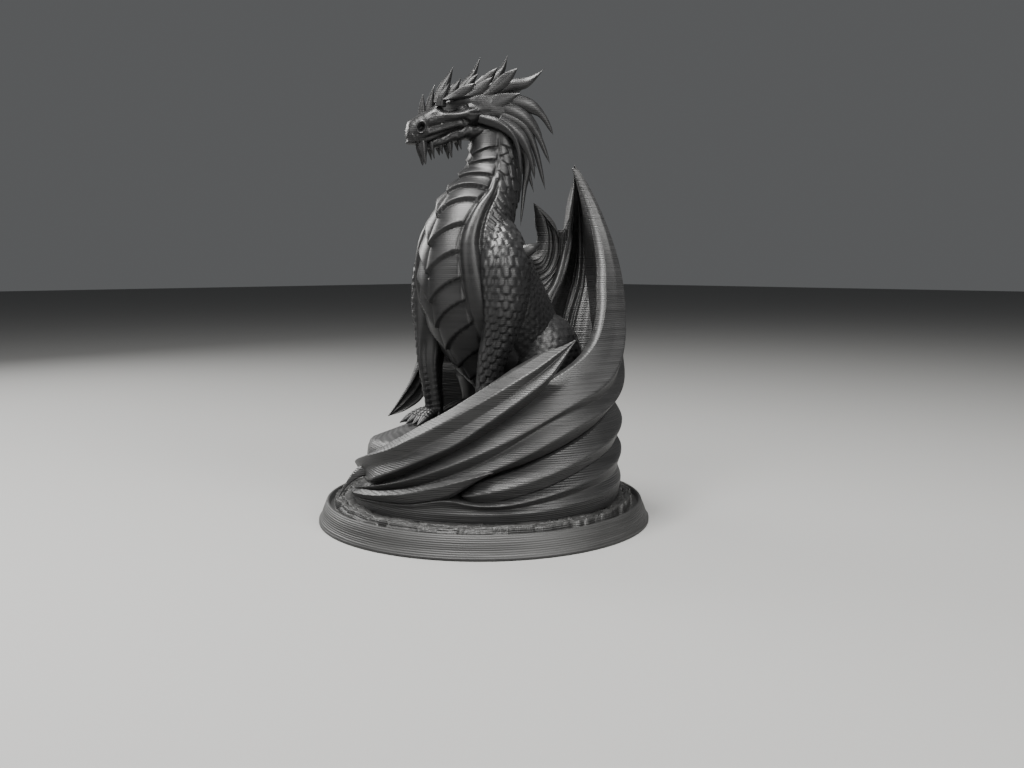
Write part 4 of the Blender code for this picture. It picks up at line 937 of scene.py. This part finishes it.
for side, name in ((1.0, "left"), (-1.0, "right")):
    thigh = gridded(name + "_haunch", placed(tube([
        (8.0 * side, 15.0, 58.0, 3.0, 5.0), (11.6 * side, 15.6, 52.0, 8.6, 11.6),
        (13.3 * side, 16.0, 43.0, 9.8, 14.2), (14.5 * side, 14.0, 33.0, 8.5, 12.0),
        (15.0 * side, 10.0, 26.0, 4.0, 6.0)], 110, 130, (-side, 0, 0),
        scaled(2.5, 0.55, 0.0, 0.62))))
    dressed(thigh, shaded_body_finish, "dragon")
    shin = gridded(name + "_hind_foot", placed(tube([
        (15.0 * side, 20.0, 31.0, 4.2, 4.2), (15.6 * side, 10.0, 26.0, 3.9, 3.6),
        (16.0 * side, 2.0, 25.4, 3.6, 2.6), (16.4 * side, -4.5, 24.4, 1.6, 1.2)], 50, 36, (1, 0, 0),
        lambda s, a, run, wide: 0.3 * np.cos(a * 6) * ease(0.3, 0.7, s))))
    dressed(shin, shaded_body_finish, "dragon")


# Forelegs
# Straight forelegs planted on the ledge: scales shingle down their outer sides, the inner
# sides are bare muscle and long sinews, and each foot has four clawed toes.
def foreleg_relief(s, a, run, wide, bare):
    """Overlapping scales on the outer side past the bare share, thinning to the foot; muscles
    and sinews as waves along the bare side, with skin wrinkles across them low down."""
    outer = ease(bare - 0.35, bare, -np.cos(a) + 0.25 * np.sin(a))
    shingles = scaled(2.6, 0.95, 0.0, 0.84, 0.92, 41)(s, a, run, wide)
    sinew = 0.75 * np.cos(a * 4 + 0.9 * np.sin(s * 7)) * ease(0.40, 0.62, s)
    muscle = 0.5 * np.sin(s * 14 + np.sin(a) * 1.5) * ease(0.1, 0.3, s) * (1 - ease(0.5, 0.65, s))
    wrinkle = 0.06 * np.sin(run * 3.3 + 1.4 * np.cos(a * 2)) * ease(0.6, 0.75, s)
    return shingles * outer + (sinew + muscle) * (1 - 0.75 * outer) + wrinkle


for side, name in ((1.0, "left"), (-1.0, "right")):
    lean = 0.0 if side > 0 else 2.6
    bare = -0.10 if side > 0 else 0.55
    leg = gridded(name + "_foreleg", placed(tube([
        (8.0 * side, -1.0, 91.0, 1.5, 2.5), (12.6 * side, -3.2, 83.0, 5.0, 7.0),
        (15.4 * side, -5.6, 74.0, 6.8, 9.0),
        (15.6 * side, -6.5 - lean * 0.5, 63.0, 6.4, 8.2),
        (14.4 * side, -7.5 - lean, 53.0, 4.9, 6.0), (13.2 * side, -9.5 - lean, 44.0, 3.5, 4.2),
        (12.4 * side, -11.0 - lean * 0.4, 35.0, 2.7, 3.1),
        (12.4 * side, -11.4, 28.0, 2.8, 3.2), (12.6 * side, -12.6, 24.5, 3.2, 3.6)],
        230, 110, (-side, 0, 0), lambda s, a, run, wide: foreleg_relief(s, a, run, wide, bare))))
    dressed(leg, shaded_body_finish, "dragon")
    for number, spread in enumerate((-1.5, -0.4, 0.7, 1.6)):
        toe = gridded("%s_toe_%d" % (name, number + 1), placed(tube([
            (12.6 * side + spread, -11.6, 26.6, 1.7, 1.7),
            (12.6 * side + spread * 1.7, -15.6, 26.2, 1.6, 1.5),
            (12.6 * side + spread * 2.4, -19.2, 24.8, 1.3, 1.2),
            (12.6 * side + spread * 2.9, -22.4, 23.4, 0.15, 0.15)], 44, 20, (1, 0, 0),
            lambda s, a, run, wide: 0.16 * np.sin(run * 4.2) * (1 - ease(0.6, 0.7, s)))))
        dressed(toe, shaded_body_finish, "dragon")
    spike = gridded(name + "_shoulder_spike", placed(tube([
        (14.0 * side, -3.0, 78.0, 2.9, 2.6), (18.0 * side, -1.0, 79.0, 2.5, 2.1),
        (20.2 * side, 2.0, 80.4, 1.6, 1.4), (20.8 * side, 5.0, 82.0, 0.1, 0.1)], 40, 20, (0, 0, 1))))
    dressed(spike, shaded_body_finish, "dragon")


# Head
# Long lizard skull with a blunt snout, turned to the dragon's right: ringed nostrils, a deep
# eye socket under the brow plates, cheek folds, and a slightly open jaw.
HEAD_PIVOT = np.array([0.0, 4.0, 119.5])
HEAD_YAW = math.radians(28.0)
HEAD_FORE = np.array([-math.sin(HEAD_YAW), -math.cos(HEAD_YAW), 0.0])
HEAD_LEFT = np.array([math.cos(HEAD_YAW), -math.sin(HEAD_YAW), 0.0])
HEAD_UP = np.array([0.0, 0.0, 1.0])


def in_head(points):
    """Points given forward, to the left and up from the head's pivot, turned with it."""
    p = np.asarray(points, float)
    return HEAD_PIVOT + p[..., :1] * HEAD_FORE + p[..., 1:2] * HEAD_LEFT + p[..., 2:3] * HEAD_UP


def dent(f, u, at, size, turn):
    """Bell-shaped patch in the side view of the head, centred, sized and turned."""
    c, s = math.cos(turn), math.sin(turn)
    x, y = f - at[0], u - at[1]
    x, y = x * c + y * s, -x * s + y * c
    return np.exp(-((x / size[0]) ** 2 + (y / size[1]) ** 2) ** 1.3)


def strip(f, u, line, wide):
    """Bell across a bent line in the side view: nearest distance to its straight runs."""
    best = np.full(np.broadcast(f, u).shape, 1e9)
    for (x0, y0), (x1, y1) in zip(line, line[1:]):
        dx, dy = x1 - x0, y1 - y0
        t = np.clip(((f - x0) * dx + (u - y0) * dy) / (dx * dx + dy * dy), 0, 1)
        best = np.minimum(best, np.hypot(f - x0 - t * dx, u - y0 - t * dy))
    return np.exp(-(best / wide) ** 2)


def head_grid(stations, rows, cols, relief, power=0.85):
    """Sections carried along the head: superellipse with its own rise and fall, pushed in or
    out by relief read in the side view."""
    line = curve(stations, np.linspace(0, 1, rows))
    fore, mid, wide, rise, fall = (line[:, k][:, None] for k in range(5))
    a = np.linspace(0, 2 * np.pi, cols, endpoint=False)[None, :]
    c, s = np.cos(a), np.sin(a)
    side = np.sign(c) * np.abs(c) ** power * np.maximum(wide, THINNEST)
    up = mid + np.sign(s) * np.abs(s) ** 0.95 * np.where(s > 0, rise, fall)
    grid = np.stack([fore + 0 * side, side, up], axis=-1)
    n = facing(grid, True)
    centre = np.stack([fore, 0 * fore, mid], axis=-1)
    if ((grid - centre) * n).sum() < 0:
        n = -n
    lift = relief(grid[..., 0], grid[..., 2], np.abs(grid[..., 1]) / np.maximum(wide, THINNEST))
    return in_head(grid + n * lift[..., None])


NOSTRIL = (24.4, -1.3)
NOSTRIL_TURN = 0.35
SOCKET = (14.0, 6.0)
EYEBALL = (12.3, 5.7)
JAW_HOLLOW = (10.2, 1.0)
# Folds of the skull: height, width, the line in the side view, and whether on the flank alone
FOLDS = (
    (0.60, 1.30, [(27.4, 0.9), (22.5, 2.2), (19.5, 4.2), (17.6, 6.6)], False),
    (0.62, 1.05, [(22.0, 0.6), (17.5, 2.3), (12.0, 2.9), (7.0, 4.0)], True),
    (-0.38, 0.60, [(21.4, -1.2), (16.5, 0.2), (11.0, 1.2)], True),
    (0.50, 0.85, [(22.0, -3.0), (16.5, -1.2), (11.5, 0.3), (8.0, 1.8)], True),
    (-0.32, 0.45, [(22.4, -4.4), (17.5, -2.4), (12.5, -0.9)], True),
    (0.50, 0.60, [(28.0, -5.7), (23.0, -5.3), (18.0, -3.2), (13.0, -1.5), (9.5, 0.1)], False),
    (-0.30, 0.35, [(9.0, 3.4), (3.0, 3.9)], True),
    (0.26, 0.30, [(27.0, -3.6), (26.2, -5.0)], False),
    (0.26, 0.30, [(25.6, -3.9), (25.0, -5.1)], False))


def skull_relief(f, u, flank):
    """Tilted nostril with a thin raised ring, deep eye socket with its ball, snout ridge, long
    soft cheek folds running back from the nostril, and the lip."""
    on_side = ease(0.35, 0.75, flank)
    c, s = math.cos(NOSTRIL_TURN), math.sin(NOSTRIL_TURN)
    x, y = f - NOSTRIL[0], u - NOSTRIL[1]
    hole = np.hypot((x * c + y * s) / 1.15, (y * c - x * s) / 1.50)
    lift = 0.36 * np.exp(-((hole - 1.12) / 0.22) ** 2) * on_side
    lift = lift - 1.9 * np.exp(-(hole / 0.88) ** 6) * on_side
    socket = np.hypot((f - SOCKET[0]) / 4.6, (u - SOCKET[1]) / 2.2)
    lift = lift - 3.0 * np.exp(-(socket / 0.95) ** 2.6) * on_side
    ball = np.hypot((f - EYEBALL[0]) / 1.4, (u - EYEBALL[1]) / 1.1)
    lift = lift + 1.3 * np.exp(-(ball / 0.95) ** 4) * on_side
    for height, wide, line, side_only in FOLDS:
        lift = lift + height * strip(f, u, line, wide) * (on_side if side_only else 1.0)
    lift = lift - 1.1 * dent(f, u, JAW_HOLLOW, (1.5, 0.7), 0.25) * on_side
    return lift + 0.07 * noise(f * 1.1, u * 1.1, 51, 3)


skull = gridded("skull", placed(head_grid([
    (-9.0, 6.0, 2.5, 4.0, 4.0), (-5.0, 5.0, 6.5, 7.0, 6.0), (1.0, 5.5, 7.8, 7.2, 6.5),
    (7.0, 5.8, 7.4, 6.2, 6.2), (12.0, 4.0, 6.2, 5.6, 5.4), (17.0, 2.2, 5.0, 4.6, 5.4),
    (21.5, 0.2, 4.5, 4.4, 5.5), (25.2, -1.6, 4.0, 3.6, 4.3), (27.6, -2.4, 3.0, 2.7, 3.5),
    (28.5, -2.7, 1.4, 1.4, 1.8)], 212, 200, skull_relief)))
dressed(skull, shaded_body_finish, "dragon")


def jaw_relief(f, u, flank):
    """Lip roll and soft folds of the lower jaw."""
    lift = 0.35 * strip(f, u, [(20.0, -4.8), (14.0, -2.6), (9.0, -0.4)], 0.6)
    return lift + 0.14 * np.sin(f * 1.6 + u) + 0.12 * noise(f * 0.9, u * 0.9, 53, 2)


jaw = gridded("lower_jaw", placed(head_grid([
    (-3.0, -2.0, 5.5, 3.5, 3.5), (4.0, -1.4, 5.6, 2.6, 2.8), (9.0, -1.9, 5.0, 2.2, 2.4),
    (14.4, -3.9, 4.0, 1.9, 1.8), (19.0, -5.7, 3.3, 1.5, 1.6), (21.8, -6.3, 1.8, 0.8, 1.0)],
    90, 80, jaw_relief)))
dressed(jaw, shaded_body_finish, "dragon")


# Crest, brow plates, horns, mane and fangs
# Curved blades printed on the skull: a crest along the middle, ribbed plates over each eye
# with a cheek blade below them, one large swept horn a side, the mane, and pointed fangs.
def blade_relief(s, a, run, wide):
    """A raised line along each flat side and one crease beside it, fading to the tip."""
    flat = np.abs(np.sin(a))
    raised = 0.22 * np.exp(-((flat - 0.97) / 0.10) ** 2)
    crease = 0.14 * np.exp(-((flat - 0.72) / 0.12) ** 2)
    return (raised - crease) * (1 - s) * np.minimum(1.0, wide)


def blade(line, wide, thick, taper, rows, cols, flat_to, lens_power):
    """Blade along nine points, thin along one direction, widest past its root and drawn to a
    tip by a power; its section is a lens, an ellipse with its sine raised to a power."""
    s = np.linspace(0, 1, len(line))
    size = (1 - s) ** taper * (1 + 0.35 * np.sin(np.pi * np.minimum(s * 1.6, 1.0)))
    stations = np.concatenate([line, (thick * size)[:, None], (wide * size)[:, None]], axis=1)
    return tube(stations, rows, cols, flat_to, blade_relief, lens_power)


def head_blade(points, wide, thick, rows, cols):
    """Blade through head points, flat to the head's side."""
    line = in_head(curve(points, np.linspace(0, 1, 9)))
    return blade(line, wide, thick, 0.62, rows, cols, HEAD_LEFT, 1.25)


def joined(name, grids, mat):
    """Several closed grids of one size as one piece: the same faces repeat for each grid, and
    each grid ends in its two middle points."""
    piece = gridded(name, placed(grids[0]))
    whole = piece.data
    count = len(whole.vertices)
    sizes = np.zeros(len(whole.polygons), int)
    corners = np.zeros(len(whole.loops), int)
    whole.polygons.foreach_get("loop_total", sizes)
    whole.loops.foreach_get("vertex_index", corners)
    closed = [np.vstack([g.reshape(-1, 3), g[0].mean(axis=0), g[-1].mean(axis=0)])
              for g in map(placed, grids)]
    faces = np.concatenate([corners + k * count for k in range(len(grids))])
    sizes = np.tile(sizes, len(grids))
    starts = np.cumsum(sizes) - sizes
    whole.clear_geometry()
    whole.vertices.add(count * len(grids))
    whole.vertices.foreach_set("co", np.concatenate(closed).ravel())
    whole.loops.add(len(faces))
    whole.loops.foreach_set("vertex_index", faces)
    whole.polygons.add(len(sizes))
    whole.polygons.foreach_set("loop_start", starts)
    whole.polygons.foreach_set("use_smooth", np.ones(len(sizes), bool))
    whole.update()
    whole.validate()
    dressed(piece, mat, "dragon")


def thorn(front, back, low_side, tip_side, thick, rows=40, cols=24, power=1.5):
    """Curved thorn or leaf plate between two edges in the side view that meet at its tip; across
    it the thickness falls as one less the share from the middle raised to a power, so that a low
    power leaves a rib, and the sides are ribbed finely along the length."""
    s = np.linspace(0, 1, rows)
    first, last = curve(front, s)[:, None, :], curve(back, s)[:, None, :]
    a = np.linspace(0, 2 * np.pi, cols, endpoint=False)[None, :]
    across = np.cos(a)[..., None]
    flat = (first + last) * 0.5 + (first - last) * 0.5 * across
    swell = 0.85 * (1 - np.abs(np.cos(a)) ** power) + 0.15 * np.abs(np.sin(a))
    ribs = 1 + 0.07 * np.sin(np.cos(a) * 9.0) * np.sin(a) ** 2
    half = thick * swell * ribs * np.sign(np.sin(a)) * (1 - s[:, None]) ** 0.55
    side = low_side + (tip_side - low_side) * s[:, None] + half
    return in_head(np.stack([flat[..., 0], side, flat[..., 1]], axis=-1))


CREST = (([(24.6, 2.6), (24.0, 6.4), (22.9, 9.8)], [(21.4, 2.8), (22.0, 5.6), (22.9, 9.8)], 1.0),
         ([(22.6, 4.0), (21.3, 8.2), (19.0, 12.8)], [(18.4, 4.6), (19.2, 8.4), (19.0, 12.8)], 1.2),
         ([(20.2, 7.0), (18.0, 12.0), (15.4, 15.5), (12.9, 18.6)],
          [(13.2, 7.0), (13.9, 12.2), (13.4, 15.4), (12.9, 18.6)], 1.5),
         ([(13.6, 9.5), (10.2, 14.0), (7.1, 17.2), (3.9, 22.0)],
          [(5.2, 10.0), (5.8, 14.6), (4.8, 18.0), (3.9, 22.0)], 1.7),
         ([(5.2, 11.0), (0.8, 16.2), (-2.6, 19.2), (-5.2, 23.1)],
          [(-4.0, 11.0), (-3.9, 16.2), (-4.8, 19.6), (-5.2, 23.1)], 1.7))
joined("skull_crest", [thorn(front, back, 0.0, 0.0, thick) for front, back, thick in CREST],
       shaded_body_finish)

BROW = (([(19.6, 5.6), (18.8, 8.9), (17.2, 10.8), (15.3, 12.7)],
         [(16.2, 5.4), (16.1, 7.8), (15.8, 9.8), (15.3, 12.7)], 3.4, 4.8),
        ([(16.6, 8.0), (15.1, 11.0), (13.3, 12.9), (11.5, 14.7)],
         [(12.8, 8.0), (12.5, 10.2), (12.0, 12.2), (11.5, 14.7)], 3.8, 5.0),
        ([(12.8, 9.2), (10.4, 12.6), (8.3, 14.7), (5.7, 16.2)],
         [(8.4, 9.6), (7.8, 12.2), (6.8, 13.8), (5.7, 16.2)], 3.4, 4.4),
        ([(8.4, 11.4), (5.4, 14.2), (2.4, 16.8), (-0.8, 18.4)],
         [(3.4, 11.2), (1.4, 13.4), (0.2, 15.8), (-0.8, 18.4)], 3.0, 4.6),
        ([(18.0, 7.4), (14.9, 9.4), (11.4, 11.6), (7.5, 12.7)],
         [(13.6, 7.4), (10.2, 8.2), (8.8, 9.9), (7.5, 12.7)], 4.6, 7.0),
        ([(12.0, 8.8), (8.2, 11.2), (4.9, 13.5), (1.9, 14.8)],
         [(7.4, 8.2), (4.8, 9.2), (3.0, 11.8), (1.9, 14.8)], 5.4, 7.6),
        ([(6.2, 9.4), (2.5, 12.4), (-1.6, 15.9), (-6.3, 17.9)],
         [(2.8, 8.2), (-0.6, 10.2), (-4.2, 13.6), (-6.3, 17.9)], 5.8, 8.0),
        ([(9.9, 6.4), (4.9, 7.4), (0.0, 9.6), (-7.4, 10.1)],
         [(9.0, 3.4), (4.9, 2.6), (-0.4, 5.0), (-7.4, 10.1)], 6.0, 8.2))
HORN = ([(3.0, 13.2), (-4.6, 15.0), (-10.8, 15.9), (-16.2, 18.8)],
        [(1.0, 7.4), (-5.0, 10.8), (-10.8, 12.6), (-16.2, 18.8)])
MANE = (((-3.0, 4.6, 8.0), (-10.5, 5.4, 6.8), (-15.5, 5.6, 3.6), (-19.2, 5.4, -2.2), 2.2),
        ((0.5, 6.0, 6.0), (-7.6, 7.0, 3.1), (-13.0, 7.2, -2.2), (-17.6, 7.0, -11.8), 2.2),
        ((1.0, 6.0, 3.6), (-7.5, 6.6, 0.8), (-12.2, 6.6, -6.0), (-16.3, 6.0, -20.0), 2.2),
        ((0.0, 7.0, 1.5), (-6.8, 8.2, -3.4), (-10.3, 8.4, -9.6), (-12.0, 8.0, -16.8), 1.9),
        ((6.0, 6.2, 2.2), (-1.6, 8.6, -0.8), (-5.8, 9.0, -6.2), (-7.4, 8.4, -16.4), 1.4))


def mirrored(points, side):
    """The same head points on the left, or on the right with side -1."""
    return [(f, s * side, u) for f, s, u in points]


FANGS = ((23.2, -5.4, 12.6, 1.25), (20.3, -6.2, 10.8, 0.6), (17.6, -5.6, 9.2, 0.7),
         (14.6, -5.0, 10.3, 0.9), (11.4, -4.0, 7.6, 0.6))
plates, horns, manes, fangs = [], [], [], []
for side in (1.0, -1.0):
    plates += [thorn(front, back, low * side, high * side, 1.15, power=1.3)
               for front, back, low, high in BROW]
    horns.append(thorn(*HORN, 4.4 * side, 5.2 * side, 2.2, 60, 32, 2.0))
    manes += [head_blade(mirrored(row[:4], side), row[4], 1.1, 56, 20) for row in MANE]
    for fore, low, reach, wide in FANGS:
        points = [(fore + 0.5, 1.9, low + 0.8), (fore, 2.1, (low - reach) * 0.5),
                  (fore - 0.5, 2.2, -reach)]
        fangs.append(head_blade(mirrored(points, side), wide, 0.8, 24, 14))
joined("brow_and_cheek_blades", plates, shaded_body_finish)
joined("horns", horns, shaded_body_finish)
joined("mane_blades", manes, shaded_body_finish)
joined("fangs_and_chin_spikes", fangs, shaded_body_finish)


# Strands and tail tip
# Hair-like strands run down the back of the neck from the mane, and the tip of the tail
# lies on the rocks at the dragon's right.
def spike_grid(points, wide, thick, flat_to):
    """Blade in figure shares, thin along one direction."""
    line = curve(points, np.linspace(0, 1, 9))
    return blade(line, wide, thick, 0.75, 50, 18, flat_to, 1.15)


strands = [spike_grid([(x, 12.0, 121.0), (x * 1.2, 16.2, 110.0), (x * 1.5, 13.6, 99.0),
                       (x * 1.8, 11.0, 88.0)], 2.0, wide, (1, 0, 0))
           for x, wide in ((0.0, 1.6), (3.4, 1.4), (-3.4, 1.4))]
joined("nape_strands", strands, shaded_body_finish)
joined("tail_tip", [spike_grid([(-12.0, -35.0, 11.5), (-17.6, -38.6, 9.0), (-22.0, -40.6, 4.6),
                                (-25.6, -41.6, -0.6)], 1.7, 1.0, (0.25, 0.97, 0))], swirl_finish)
